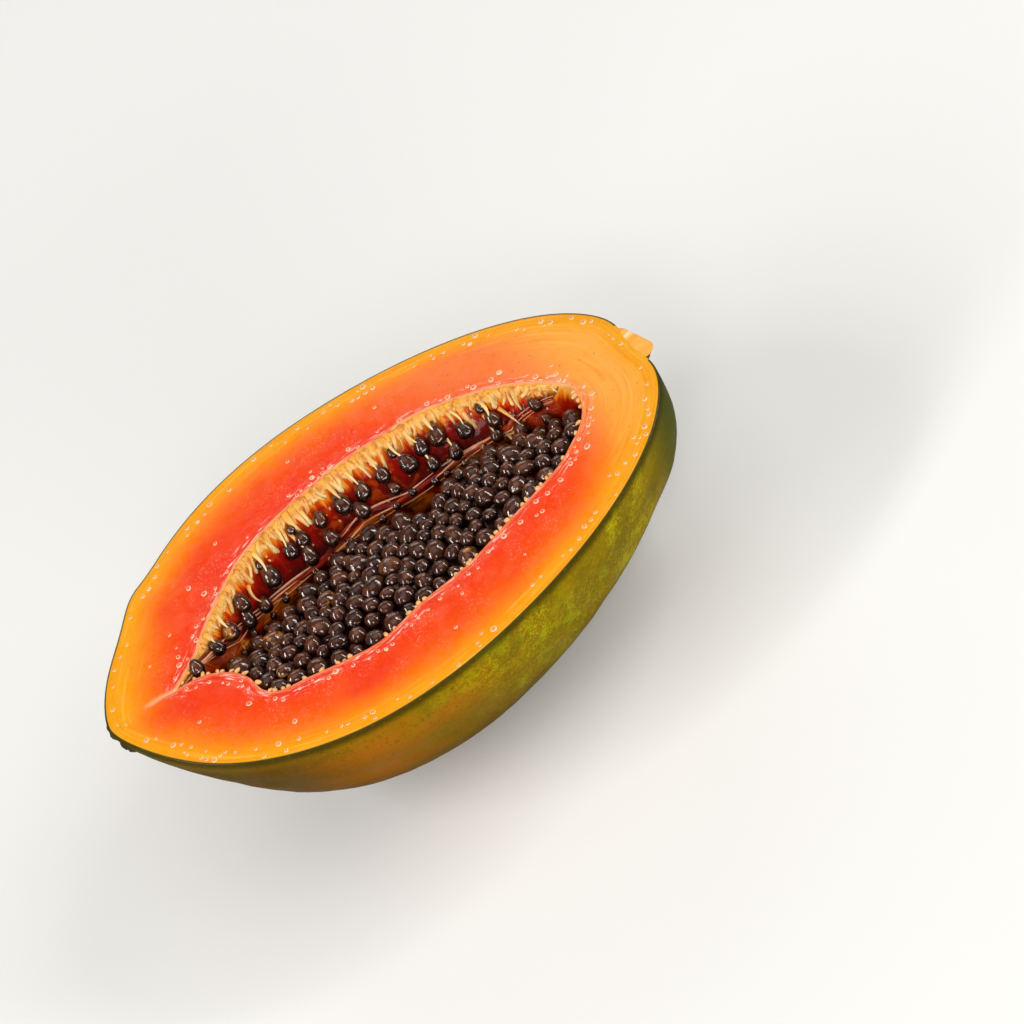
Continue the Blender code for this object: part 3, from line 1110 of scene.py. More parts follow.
class ScatterTree(NodeWriter):
    """Geometry Nodes that set a copy of a shape on each point and make it one mesh."""

    def __init__(self, name: str) -> None:
        """Build the node tree with its named inputs.

        Args:
            name: Name of the tree.
        """
        self.tree = bpy.data.node_groups.new(name, "GeometryNodeTree")
        super().__init__(self.tree)
        face = self.tree.interface
        self.sockets = {}
        face.new_socket("Geometry", in_out="INPUT", socket_type="NodeSocketGeometry")
        for label, kind in (("Shape", "Object"), ("Finish", "Material"), ("Relief", "Float"),
                            ("Relief Scale", "Float"), ("Seed", "Int")):
            made = face.new_socket(label, in_out="INPUT", socket_type=f"NodeSocket{kind}")
            self.sockets[label] = made.identifier
        face.new_socket("Geometry", in_out="OUTPUT", socket_type="NodeSocketGeometry")
        self.build()

    def node(self, kind: str, **inputs: object) -> bpy.types.Node:
        """Add a node and set or link its inputs by name.

        Args:
            kind: Type of the node.
            **inputs: Values or outputs by name, with underscores for spaces.

        Returns:
            The node.
        """
        made = self.nodes.new(kind)
        for name, value in inputs.items():
            self.put(made.inputs[name.replace("_", " ")], value)
        return made

    def named(self, name: str) -> Socket:
        """A vector that the points carry.

        Args:
            name: Name of the attribute.

        Returns:
            The vector.
        """
        made = self.node("GeometryNodeInputNamedAttribute", Name=name)
        made.data_type = "FLOAT_VECTOR"
        return made.outputs["Attribute"]

    def store(self, shape: Socket, name: str, domain: str, number: Socket) -> Socket:
        """Geometry that carries a number under a name.

        Args:
            shape: Geometry.
            name: Name of the attribute.
            domain: What carries it.
            number: The number.

        Returns:
            The geometry with the number.
        """
        made = self.node("GeometryNodeStoreNamedAttribute", Geometry=shape, Name=name)
        made.data_type, made.domain = "FLOAT", domain
        self.put(made.inputs["Value"], number)
        return made.outputs[0]

    def build(self) -> None:
        """Chain the nodes from the points to the finished mesh."""
        source = self.node("NodeGroupInput").outputs
        points = self.node("GeometryNodeMeshToPoints", Mesh=source["Geometry"])
        shape = self.node("GeometryNodeObjectInfo", Object=source["Shape"])
        turn = self.node("FunctionNodeEulerToRotation", Euler=self.named("turn"))
        copies = self.node(
            "GeometryNodeInstanceOnPoints", Points=points.outputs[0],
            Instance=shape.outputs["Geometry"], Rotation=turn.outputs[0],
            Scale=self.named("size"),
        )
        tone = self.node("FunctionNodeRandomValue", Seed=source["Seed"]).outputs[1]
        toned = self.store(copies.outputs[0], "tone", "INSTANCE", tone)
        real = self.node("GeometryNodeRealizeInstances", Geometry=toned)
        waves = self.node("ShaderNodeTexNoise", Scale=source["Relief Scale"]).outputs["Fac"]
        height = self.times(self.math("SUBTRACT", waves, 0.5), source["Relief"])
        push = self.nodes.new("ShaderNodeVectorMath")
        push.operation = "SCALE"
        self.put(push.inputs[0], self.node("GeometryNodeInputNormal").outputs[0])
        self.put(push.inputs["Scale"], height)
        moved = self.node("GeometryNodeSetPosition", Geometry=real.outputs[0],
                          Offset=push.outputs[0])
        facing = self.node("ShaderNodeSeparateXYZ",
                           Vector=self.node("GeometryNodeInputNormal").outputs[0])
        turned = self.store(moved.outputs[0], "up", "POINT", facing.outputs["Z"])
        soft = self.node("GeometryNodeSetShadeSmooth", Geometry=turned)
        dressed = self.node("GeometryNodeSetMaterial", Geometry=soft.outputs[0],
                            Material=source["Finish"])
        self.node("NodeGroupOutput", Geometry=dressed.outputs[0])

    def piece(self, name: str, place: Placement, points: Array, turns: Array, sizes: Array,
              shape: Piece, finish: Material, relief: float = 0.0,
              waves: float = 400.0, seed: int = 1) -> Piece:
        """Scatter a shape and return one plain mesh object.

        Args:
            name: Name of the piece.
            place: Placement in the frame.
            points: Centres in millimetres.
            turns: Euler angles of each copy.
            sizes: Lengths of each copy in millimetres.
            shape: Object of one unit long that is copied, and then removed.
            finish: Material of the piece.
            relief: Height of the unevenness in millimetres.
            waves: Scale of the unevenness.
            seed: Seed of the tones.

        Returns:
            The finished object, without modifiers.
        """
        mesh = bpy.data.meshes.new(f"{name}_points")
        mesh.from_pydata(place.metres(points).tolist(), [], [])
        for key, data in (("turn", turns), ("size", np.asarray(sizes) * MM)):
            layer = mesh.attributes.new(key, "FLOAT_VECTOR", "POINT")
            layer.data.foreach_set("vector", np.asarray(data, np.float32).ravel())
        carrier = add_object(f"{name}_carrier", mesh)
        modifier = carrier.modifiers.new("scatter", "NODES")
        modifier.node_group = self.tree
        for label, value in (("Shape", shape), ("Finish", finish), ("Relief", relief * MM),
                             ("Relief Scale", waves), ("Seed", seed)):
            modifier[self.sockets[label]] = value
        graph = bpy.context.evaluated_depsgraph_get()
        result = bpy.data.meshes.new_from_object(carrier.evaluated_get(graph))
        if not result.materials:
            result.materials.append(finish)
        for spent in (carrier, shape):
            bpy.data.objects.remove(spent, do_unlink=True)
        return add_object(name, result)


def unit_ball(name: str, sides: int, rows: int, egg: float = 0.0, dome: float = 1.0,
              pinch: float = 0.0) -> Piece:
    """Ball one unit long, to be copied and then removed.

    Args:
        name: Name of the object.
        sides: Faces round it.
        rows: Faces from end to end.
        egg: How much the +z end narrows.
        dome: Height of the lower half for the upper one; 0 makes a flat base.
        pinch: How much the +z end is drawn out to a point.

    Returns:
        The object, hidden from renders.
    """
    maker = MeshMaker()
    turn = circle(sides)
    rings = []
    for k in range(1, rows):
        angle = math.pi * k / rows
        height, radius = math.cos(angle), math.sin(angle) * (1.0 - egg * math.cos(angle))
        height = height + pinch * max(0.0, height) ** 3 if height > 0.0 else height * dome
        ring = 0.5 * np.stack([radius * np.cos(turn), radius * np.sin(turn),
                               np.full(sides, height)], 1)
        rings.append(maker.add(ring, run=max(0.0, math.cos(angle))))
    top = maker.add(np.array([0.0, 0.0, 0.5 + 0.5 * pinch]), run=1.0)[0]
    foot = maker.add(np.array([0.0, 0.0, -0.5 * dome]), run=0.0)[0]
    maker.shell(rings, [top, foot])
    made = maker.piece(name, Placement(Vector((0.0, 0.0, 0.0))), [])
    made.data.transform(Matrix.Scale(1.0 / MM, 4))
    made.hide_render = True
    return made


@dataclass
class PapayaHalf:
    """Flesh, skin and hollow in one closed mesh, with the stem stub and the blossom scar."""

    shape: FruitShape
    place: Placement
    around: int = 420
    across: int = 54
    down: int = 84
    levels: int = 40
    lip_height: float = 0.3
    edge_steps: Knots = ((0.1, -0.1), (0.34, -0.02), (0.62, 0.0))
    crease: Knots = ((20.5, 0.0), (16.0, 1.3), (10.5, 2.0))
    ridge: Knots = (
        (22.0, 0.8), (30.0, 2.4), (40.0, 8.0), (52.0, 10.5), (74.0, 12.4), (92.0, 10.9),
        (107.0, 12.8), (122.0, 12.2), (144.0, 10.5), (155.0, 5.3), (160.0, 3.0),
    )
    stub_sides: int = 72
    stub_rows: int = 44
    stub_root: float = 175.0
    stub_end: float = 187.6
    stub_half_width: float = 8.1
    stub_half_height: float = 3.6
    stub_y: float = 0.4
    scar_knobs: tuple[Triple, ...] = (
        (0.064, 0.026, 1.9), (0.036, 0.03, 2.1), (-0.028, 0.03, 2.2), (-0.058, 0.034, 1.9),
    )

    def skin_rows(self, maker: MeshMaker, plan: Array) -> list[Array]:
        """Rows of the skin from just below the cut face to the resting spot.

        Args:
            maker: Mesh that the points go into.
            plan: Compass angles of the points.

        Returns:
            Indices of each row.
        """
        rows = []
        share = np.linspace(0.0, 1.0, self.down + 1)[1:]
        dips = np.concatenate([[0.004, 0.011, 0.022], 0.022 + (math.pi / 2 - 0.022) * share])[:-1]
        for dip in dips:
            points = self.shape.skin(plan, np.full(len(plan), dip))
            below = -points[:, 2]
            height = points[:, 2] / self.shape.share_at(points[:, 0])
            turn = np.arctan2(height + self.shape.drop_at(points[:, 0]), points[:, 1])
            groove = np.maximum(0.0, -np.cos(LOBES * (turn - math.pi / 2.0))) ** 3
            swell = 0.28 * ripple(points, 16.0) * smooth(0.5, 6.0, below)
            swell = swell * smooth(0.0, 3.0, self.shape.depth() - below)
            away = points - np.array([self.shape.widest_x, 0.0, 0.0])
            away /= np.linalg.norm(away, axis=1)[:, None]
            points = points + np.minimum(swell, 0.1)[:, None] * away
            points[:, 2] = np.maximum(points[:, 2], -self.shape.depth())
            rows.append(maker.add(points, **self.numbers(
                len(points), below_mm=below, along_mm=points[:, 0], groove=groove)))
        return rows

    @staticmethod
    def numbers(count: int, **known: Array | float) -> dict[str, Array]:
        """All the numbers that the mesh carries, with plain values for the missing ones.

        Args:
            count: Number of points.
            **known: Numbers that are known.

        Returns:
            Numbers by name.
        """
        plain = {"edge_mm": 0.0, "rim_mm": 60.0, "ripe": 0.0, "pale": 0.0, "crease": 0.0,
                 "below_mm": 0.0, "along_mm": 0.0, "groove": 0.0, "depth_mm": 0.0,
                 "far": 0.0, "under_mm": 30.0}
        plain.update(known)
        return {name: np.broadcast_to(value, count) for name, value in plain.items()}

    def face_rows(self, maker: MeshMaker, outline: Array, rim: Array) -> list[Array]:
        """Rows of the cut face from its edge to the rim of the hollow.

        Args:
            maker: Mesh that the points go into.
            outline: Edge of the cut face.
            rim: Rim of the hollow in the plane.

        Returns:
            Indices of each row.
        """
        edge_line, rim_line = close_ring(outline[:, :2]), close_ring(rim)
        crease = np.array(self.crease)
        rows = []
        inward = rim - outline[:, :2]
        width = np.linalg.norm(inward, axis=1)[:, None]
        inward = inward / width
        spread = np.linspace(0.0, 1.0, self.across + 1)
        spread = 0.5 * (spread + (1.0 - np.cos(math.pi * spread)) / 2.0)
        rings = [(outline[:, :2] + inward * step, rise) for step, rise in self.edge_steps]
        first = self.edge_steps[-1][0]
        rings += [(outline[:, :2] + inward * (first + (width - first) * t), 0.0)
                  for t in spread[1:]]
        for ring, rise in rings:
            edge = distance_to_line(ring, edge_line)
            lip = distance_to_line(ring, rim_line)
            x, y = ring.T
            near_tip = 0.3 * smooth(42.0, 14.0, x) + 0.5 * smooth(18.0, 8.0, x)
            near_tip = near_tip * smooth(6.0, -9.0, y)
            fade = 0.42 + 0.58 * smooth(0.0, 40.0, x) + near_tip
            fade = fade * (1.0 - 0.75 * smooth(138.0, 174.0, x))
            pale = smooth(126.0, 168.0, x + 0.6 * y) * smooth(2.0, 9.0, edge)
            line = bell(distance_to_line(ring, crease) / 0.55) * smooth(8.0, 13.0, x)
            at_stub = smooth(9.5, 7.5, np.abs(y - 0.4)) * smooth(170.0, 178.0, x)
            edge = np.maximum(edge, 3.0 * at_stub)
            flat = np.column_stack([ring, np.zeros(len(ring))])
            height = rise + 0.1 * ripple(flat, 7.0) * smooth(0.6, 4.0, edge)
            uneven = (0.6 + 0.9 * ripple(flat, 5.0, 2)) * (0.35 + 0.65 * smooth(-4.0, 4.0, y))
            height = height + self.lip_height * uneven * bell((lip - 0.7) / 0.45) - 0.35 * line
            points = np.column_stack([ring, height])
            rows.append(maker.add(points, **self.numbers(
                len(ring), edge_mm=edge, rim_mm=lip, ripe=edge * fade, pale=pale,
                crease=line, along_mm=x, far=(y > 0.0).astype(float))))
        return rows

    def ridge_depth(self, x: Array) -> Array:
        """Depth of the ridge on the far wall at x."""
        return np.interp(x, *np.array(self.ridge).T)

    def hollow_rows(self, maker: MeshMaker, rim: Array) -> list[Array]:
        """Rows of the hollow's wall from the rim to its floor.

        Args:
            maker: Mesh that the points go into.
            rim: Rim of the hollow in the plane.

        Returns:
            Indices of each row.
        """
        rows = []
        share = np.linspace(0.0, 1.0, self.levels + 1)[1:]
        for depth in self.shape.hollow_depth * (0.35 * share + 0.65 * share ** 2.2):
            points = self.shape.wall(rim, depth)
            far = smooth(-4.0, 6.0, rim[:, 1])
            under = depth - self.ridge_depth(rim[:, 0]) + 40.0 * (1.0 - far)
            spine = np.column_stack([np.clip(rim[:, 0], *self.shape.spine), np.zeros(len(rim)),
                                     np.full(len(rim), -depth)])
            inward = spine - points
            inward /= np.maximum(np.linalg.norm(inward, axis=1), 1e-6)[:, None]
            folds = ripple(points * np.array([1.0, 1.0, 0.35]), 3.2, 4)
            push = 0.45 * folds * smooth(0.3, 2.5, depth) * (0.35 + 0.65 * far)
            push = push + 0.5 * bell(under / 1.4) - 0.3 * bell((depth - 2.2) / 1.6) * far
            points = points + inward * np.minimum(push, 0.9)[:, None]
            rows.append(maker.add(points, **self.numbers(
                len(rim), rim_mm=0.0, depth_mm=depth, far=far, under_mm=under,
                along_mm=rim[:, 0])))
        return rows

    def body(self) -> Piece:
        """The closed mesh of skin, cut face and hollow.

        Returns:
            The piece papaya_flesh.
        """
        maker = MeshMaker()
        plan = self.shape.outline_angles(self.around)
        outline = self.shape.skin(plan, np.zeros(len(plan)))
        rim = self.shape.rim(self.around)
        reach = path_length(close_ring(outline))

        skin = self.skin_rows(maker, plan)
        face = self.face_rows(maker, outline, rim)
        wall = self.hollow_rows(maker, rim)
        for k, (upper, lower) in enumerate(zip(skin, skin[1:])):
            maker.strip(upper, lower, 0, True, (k * 1.3, k * 1.3 + 1.3), reach)
        foot = np.array([self.shape.widest_x, 0.0, -self.shape.depth()])
        base = maker.add(foot, **self.numbers(
            1, below_mm=self.shape.depth(), along_mm=self.shape.widest_x))[0]
        maker.cap(skin[-1], base, 0)
        maker.strip(face[0], skin[0], 0, True, (-1.0, 0.0), reach)
        wide = np.linspace(0.0, 26.0, len(face))
        for k, (outer, inner) in enumerate(zip(face, face[1:])):
            maker.strip(inner, outer, 1, True, (wide[k + 1], wide[k]), reach)
        maker.strip(wall[0], face[-1], 2, True, (1.0, 0.0), reach)
        for k, (upper, lower) in enumerate(zip(wall, wall[1:])):
            maker.strip(lower, upper, 2, True, (k * 0.9 + 0.9, k * 0.9), reach)
        pit = np.array([0.5 * sum(self.shape.spine), 0.0, -self.shape.hollow_depth])
        centre = maker.add(pit, **self.numbers(1, depth_mm=self.shape.hollow_depth))[0]
        maker.cap(wall[-1], centre, 2, flip=True)
        finishes = [SkinFinish().build(), FleshFinish().build(), HollowFinish().build()]
        return maker.piece("papaya_flesh", self.place, finishes, "grain")

    def stem_stub(self) -> Piece:
        """Sliced stub of the stem with a slanting end and fibres along it.

        Returns:
            The piece stem_stub.
        """
        maker = MeshMaker()
        turn = circle(self.stub_sides)
        outline = self.shape.outline(EDGE_POINTS)
        rows = []
        for t in np.linspace(0.0, 1.0, self.stub_rows):
            y = self.stub_half_width * np.cos(turn) * (0.97 + 0.03 * t)
            z = self.stub_half_height * np.sin(turn)
            corner = 0.03 * np.maximum(0.0, -y - 3.0) ** 3 + 0.02 * np.maximum(0.0, y - 4.5) ** 3
            end = self.stub_end - 0.27 * (y + 5.0) - corner
            end = np.minimum(end, self.stub_end + 0.3) + 1.3 * np.minimum(0.0, z - 0.3)
            x = self.stub_root + (end - self.stub_root) * t
            plan = np.column_stack([x, y + self.stub_y])
            within = Seeds.within(plan, outline)
            bury = smooth(0.35, 1.3, np.where(within, distance_to_line(plan, outline), 0.0))
            top = 0.04 - 1.6 * bury
            grooves = 0.12 * np.sin(2.1 * y + 0.7 * np.sin(0.9 * x)) + 0.1 * np.sin(5.3 * y)
            shown = z - 0.6 > top
            z = np.where(shown, top + grooves * 0.5 * smooth(181.4, 183.4, x), z - 0.6)
            out = np.where(shown, 1.0, 0.0)
            rows.append(maker.add(np.column_stack([plan, z]), run=out,
                                  streak=bell((y - 5.0) / 2.4)))
        ends = [maker.add(np.array([x, self.stub_y, -1.8]), run=0.5, streak=0.0)[0]
                for x in (self.stub_end - 3.0, self.stub_root)]
        maker.shell(rows[::-1], ends)
        g = Graph("stem_stub")
        streaks = g.noise(1.0, 3.0, g.stretch(g.coord, (60.0, 900.0, 200.0)), 0.6)
        cut = g.ramp(streaks, ((0.36, "#f8a232"), (0.56, "#fdb24a"), (0.74, "#ffca76")))
        # Cream streaks along the far side of the cut end: fibre streaks with a painted highlight.
        cream = g.times(g.span(streaks, 0.5, 0.58), g.value("streak"))
        cut = g.mix(g.times(cream, 0.9), cut, "#ffe6b4")
        bark = g.ramp(streaks, ((0.3, "#3d3a10"), (0.6, "#5c5417"), (0.8, "#7a6d25")))
        colour = g.mix(g.span(g.value("run"), 0.5, 0.95), bark, cut)
        normal = g.bump(streaks, 0.3, 0.6)
        finish = g.finish(colour, 0.45, normal, Subsurface_Weight=0.05,
                          Subsurface_Scale=0.001, Specular_IOR_Level=0.25)
        return maker.piece("stem_stub", self.place, [finish])

    def blossom_scar(self) -> Piece:
        """Dry dark knobs where the flower sat, under the cut edge of the blossom end.

        Returns:
            The piece blossom_scar.
        """
        maker = MeshMaker()
        sides, rows = 18, 12
        turn = circle(sides)
        middle = np.array([self.shape.widest_x, 0.0, 0.0])
        for turned, dip, size in self.scar_knobs:
            centre = self.shape.skin(np.array([math.pi - turned]), np.array([dip]))[0]
            centre = centre + 0.62 * size * (middle - centre) / np.linalg.norm(middle - centre)
            rings = []
            for k in range(1, rows):
                angle = math.pi * k / rows
                ring = np.stack([np.full(sides, -math.cos(angle)), math.sin(angle) * np.cos(turn),
                                 0.8 * math.sin(angle) * np.sin(turn)], 1)
                crag = 1.0 + 0.12 * ripple(ring * 3.0 + centre, 1.6)
                rings.append(maker.add(centre + size * ring * crag[:, None], run=0.5))
            maker.shell(rings, [maker.add(centre + np.array([way * size, 0.0, 0.0]), run=0.5)[0]
                                for way in (-1.0, 1.0)])
        g = Graph("blossom_scar")
        colour = g.ramp(g.noise(500.0, 4.0), ((0.3, "#1c1c03"), (0.55, "#2f2f05"),
                                              (0.8, "#4a4808")))
        finish = g.finish(colour, 0.6, g.bump(g.noise(900.0, 4.0), 0.25, 0.7),
                          Specular_IOR_Level=0.15)
        return maker.piece("blossom_scar", self.place, [finish])


@dataclass
class HollowTissue:
    """Fringe of the far rim, ridge strands, stalks of the wall seeds and nubs of the rim."""

    shape: FruitShape
    place: Placement
    ridge_depth: Callable[[Array], Array]
    drips: int = 46
    drip_start: float = 24.0
    drip_reach: float = 135.0
    curtain_ends: tuple[float, float] = (22.5, 160.8)
    curtain_steps: int = 620
    strand_ends: tuple[float, float] = (21.0, 158.0)
    strand_steps: int = 220
    strands: tuple[tuple[float, ...], ...] = (
        (0.0, 0.8, 0.4, 0.45), (-0.7, 0.26, 0.3, 0.9), (0.4, 0.2, 0.45, 0.9),
        (1.5, 0.16, 0.7, 0.9),
    )
    flecks: int = 46
    nub_pitch: float = 2.3
    clots: tuple[Triple, ...] = (
        (134.0, 7.6, 1.35), (142.5, 4.6, 1.2), (147.5, 4.9, 0.8), (117.0, 4.9, 1.1),
        (104.5, 4.4, 1.25), (91.5, 4.6, 1.15), (79.0, 5.6, 0.95), (66.5, 5.0, 1.15),
        (55.0, 5.4, 1.0),
    )

    def far_y(self, x: float) -> float:
        """y of the far rim at x."""
        return float(self.shape.rim_y(Side.FAR, np.array([x]))[0])

    def wall_at(self, x: Array, depth: Array) -> Array:
        """Points of the far wall at x of the rim and a depth.

        Args:
            x: Places along the fruit.
            depth: Depth below the cut face.

        Returns:
            Points in millimetres, one a row.
        """
        x = np.atleast_1d(np.asarray(x, float))
        rim = np.column_stack([x, self.shape.rim_y(Side.FAR, x)])
        return self.shape.wall(rim, depth)

    def fibre(self, maker: MeshMaker, draw: random.Random, root: float, tip: float,
              length: float, width: float, flat: float = 0.6, bulb: float = 0.0) -> None:
        """One soft tapering fibre that hangs off the far rim.

        Args:
            maker: Mesh that the fibre goes into.
            draw: Source of the small chances.
            root: x of its root on the rim.
            tip: x of its lower end.
            length: Depth that it reaches.
            width: Half of its width at the root.
            flat: Thickness for its width.
            bulb: Swelling of the lower end for the width.
        """
        t = np.linspace(0.0, 1.0, 9)
        bend = draw.uniform(-0.7, 0.7) * np.sin(math.pi * t) * min(1.0, length / 4.0)
        line = self.wall_at(root + (tip - root) * t ** 1.3 + bend, 0.2 + length * t)
        lift = draw.uniform(0.3, 1.0) * np.sin(math.pi * np.minimum(1.1 * t, 1.0))
        line[:, 1] -= 0.15 + 0.8 * lift
        line[:, 2] += 0.5 * lift * smooth(0.0, 0.3, t)
        radii = width * (1.2 - 0.82 * t ** 0.75) + bulb * bell((t - 0.9) / 0.12)
        maker.tube(line, radii, 7, flat, tone=draw.random())

    def curtain(self, maker: MeshMaker) -> None:
        """Continuous layer of golden pulp under the far rim, with an uneven lower edge.

        Args:
            maker: Mesh that the points go into.
        """
        x = np.linspace(*self.curtain_ends, self.curtain_steps)
        rim_y = self.shape.rim_y(Side.FAR, x)
        full = smooth(0.5, 14.0, rim_y)
        flat = np.column_stack([x, np.zeros_like(x), np.zeros_like(x)])
        length = (2.2 + 1.5 * ripple(flat, 2.2, 3)) * full + 0.35
        rows, values = [], []
        for t in np.linspace(0.0, 1.0, 8):
            line = self.wall_at(x, 0.1 + length * t)
            crags = 0.45 + 0.5 * ripple(line * np.array([1.0, 1.0, 0.4]), 1.5, 3)
            swell = (0.2 + crags * math.sin(math.pi * min(1.0, 0.15 + 0.8 * t))) * full
            line[:, 1] -= 0.75 * swell
            line[:, 2] += 0.45 * swell
            rows.append(line)
            values.append((0.02 + 0.45 * t, 0.5))
        for t in (1.0, 0.5, 0.0):
            line = self.wall_at(x, 0.1 + length * t)
            line[:, 1] += 0.5
            line[:, 2] -= 0.3
            rows.append(line)
            values.append((t, 0.5))
        section = np.stack(rows, 1)
        run, tone = np.array(values).T
        rings = [maker.add(ring, run=run, tone=tone) for ring in section]
        for first, second in zip(rings, rings[1:]):
            maker.strip(first, second)
        for ring, points, flip in ((rings[0], section[0], False), (rings[-1], section[-1], True)):
            maker.cap(ring, maker.add(points.mean(0), run=0.3, tone=0.5)[0], flip=flip)

    def fringe(self) -> Piece:
        """Curtain of pulp with soft drips and hairs that hang from the far rim.

        Returns:
            The piece hollow_fringe.
        """
        maker = MeshMaker()
        draw = random.Random(21)
        self.curtain(maker)
        for k in range(self.drips):
            share = (k + draw.uniform(-0.4, 0.4)) / (self.drips - 1)
            x = self.drip_start + self.drip_reach * share
            full = float(smooth(1.0, 15.0, self.far_y(x)))
            long = draw.random() < 0.55
            length = draw.uniform(4.4, 7.6) if long else draw.uniform(2.8, 4.2)
            width = draw.uniform(0.75, 1.25) if long else draw.uniform(0.6, 1.0)
            tip = x + draw.uniform(-1.9, 1.9)
            self.fibre(maker, draw, x, tip, length * 0.86 * full + 0.4,
                       width * (0.5 + 0.5 * full), 0.65,
                       draw.uniform(0.12, 0.3) if draw.random() < 0.5 else 0.0)
            if draw.random() < 0.3:
                self.fibre(maker, draw, x + draw.uniform(-0.5, 0.5), x + draw.uniform(-3.0, 3.0),
                           draw.uniform(2.2, 4.6) * full + 0.3, draw.uniform(0.3, 0.5), 0.7)
        for x, length, width in self.clots:
            self.fibre(maker, draw, x, x + draw.uniform(-0.5, 1.2), length, width, 0.7,
                       0.35 * width)
        finish = TissueFinish("fringe_fibre", "#fbab30", "#ffe6a6", "#ee8414", 0.3, 0.7).build()
        return maker.piece("hollow_fringe", self.place, [finish])

    def ridge(self) -> Piece:
        """Glistening strands that run along the far wall.

        Returns:
            The piece ridge_strands.
        """
        maker = MeshMaker()
        draw = random.Random(8)
        x = np.linspace(*self.strand_ends, self.strand_steps)
        for strand, (drop, thick, sway, flat) in enumerate(self.strands):
            phase, pace = draw.uniform(0.0, 6.0), draw.uniform(0.07, 0.11)
            wave = sway * np.sin(pace * x + phase) + 0.5 * sway * np.sin(0.23 * x + 2.0 * phase)
            depth = np.maximum(0.5, self.ridge_depth(x) + (drop + wave) * smooth(20.0, 45.0, x))
            line = self.wall_at(x, depth)
            line[:, 1] -= 0.7 if strand == 0 else 0.95
            line[:, 2] += 0.4
            swell = 1.0 + 0.3 * np.sin(0.19 * x + strand * 1.7) + 0.15 * np.sin(0.53 * x)
            ends = smooth(20.0, 34.0, x) * (1.0 - smooth(142.0, 158.0, x))
            maker.tube(line, thick * swell * (0.3 + 0.7 * ends), 9, flat, tone=strand / 3.0)
        g = Graph("ridge_strand")
        streaks = g.noise(1.0, 4.0, g.stretch(g.coord, (70.0, 900.0, 900.0)), 0.6, 0.4)
        band = g.ramp(streaks, ((0.4, "#6a0500"), (0.52, "#961401"), (0.62, "#be4408"),
                                (0.74, "#f09858")))
        # The thin strands are pale pink all along: real strands with a painted highlight.
        pale_thread_highlight = g.ramp(streaks, ((0.3, "#f08448"), (0.5, "#ffb084"), (0.7, "#ffd2b0")))
        colour = g.mix(g.span(g.value("tone"), 0.05, 0.3), band, pale_thread_highlight)
        finish = g.finish(colour, 0.3, g.bump(streaks, 0.35, 0.6), Subsurface_Weight=0.1,
                          Subsurface_Scale=0.001, Specular_IOR_Level=0.25,
                          Coat_Weight=0.35, Coat_Roughness=0.07, Coat_IOR=WATER_IOR)
        return maker.piece("ridge_strands", self.place, [finish])

    def stalks(self, seeds: list[tuple[Array, float]]) -> Piece:
        """Cream stalks from the wall to the upper end of the larger wall seeds.

        Args:
            seeds: Centres and sizes of the wall seeds.

        Returns:
            The piece seed_stalks.
        """
        maker = MeshMaker()
        draw = random.Random(14)
        for centre, size in seeds:
            if size < 4.0 or draw.random() < 0.35:
                continue
            x, depth = centre[0], -centre[2]
            root = self.wall_at(x + draw.uniform(-1.4, 1.4), max(0.9, depth - size * 0.9))[0]
            root += np.array([0.0, 0.1, 0.0])
            tip = centre + np.array([draw.uniform(-0.6, 0.6), -0.06 * size, 0.4 * size])
            bend = 0.5 * (root + tip) + np.array([draw.uniform(-1.9, 1.9), -0.9, 0.2])
            t = np.linspace(0.0, 1.0, 10)[:, None]
            line = (1.0 - t) ** 2 * root + 2.0 * t * (1.0 - t) * bend + t ** 2 * tip
            radii = draw.uniform(0.6, 0.95) * (1.15 - 0.95 * t[:, 0] ** 0.7)
            maker.tube(line, radii, 7, 0.6, tone=draw.random())
        finish = TissueFinish("seed_stalk", "#fcbc50", "#ffe8b8", "#f0983a").build()
        return maker.piece("seed_stalks", self.place, [finish])

    def nubs(self, scatter: ScatterTree) -> Piece:
        """Small cream nubs along the near rim, the stem end and the lobe.

        Args:
            scatter: Node tree that copies a shape onto points.

        Returns:
            The piece rim_nubs.
        """
        draw = random.Random(31)
        line = self.shape.rim_half(Side.NEAR, int(190 / self.nub_pitch))
        centres, turns, sizes = [], [], []
        for k in range(1, len(line) - 1):
            crowd = 0.5 + 0.5 * math.sin(0.42 * line[k, 0] + 1.0) + 0.4 * (line[k, 0] < 45.0)
            if draw.random() > 0.12 + 0.7 * crowd:
                continue
            run = line[k + 1] - line[k - 1]
            inward = np.array([-run[1], run[0]]) / np.linalg.norm(run)
            if inward @ (np.array([90.0, 0.0]) - line[k]) < 0.0:
                inward = -inward
            length = draw.uniform(1.4, 2.6)
            reach = 0.3 * length + draw.uniform(-0.1, 0.3)
            spot = line[k] + inward * reach + draw.uniform(-0.6, 0.6) * run / np.linalg.norm(run)
            centres.append((*spot, -0.35 - draw.uniform(0.0, 0.5)))
            heading = math.atan2(inward[1], inward[0])
            turns.append((0.0, math.pi / 2 + draw.uniform(0.1, 0.5),
                          heading + draw.uniform(-0.8, 0.8)))
            wide = draw.uniform(1.05, 1.65)
            sizes.append((wide, wide, length))
        for _ in range(self.flecks):
            x, depth = draw.uniform(32.0, 156.0), draw.uniform(3.5, 13.0)
            spot = self.wall_at(x, depth * float(smooth(-4.0, 16.0, self.far_y(x))))[0]
            centres.append(tuple(spot + np.array([0.0, -0.3, 0.25])))
            turns.append((-0.8, draw.uniform(-0.7, 0.7), 0.0))
            wide = draw.uniform(0.4, 0.8)
            sizes.append((wide, wide, wide * draw.uniform(1.0, 2.4)))
        ball = unit_ball("nub_shape", 8, 6, 0.18)
        finish = TissueFinish("rim_nub", "#fbb873", "#ffdcae", "#f39a4a").build()
        return scatter.piece("rim_nubs", self.place, np.array(centres), np.array(turns),
                             np.array(sizes), ball, finish, 0.12, 900.0, 4)


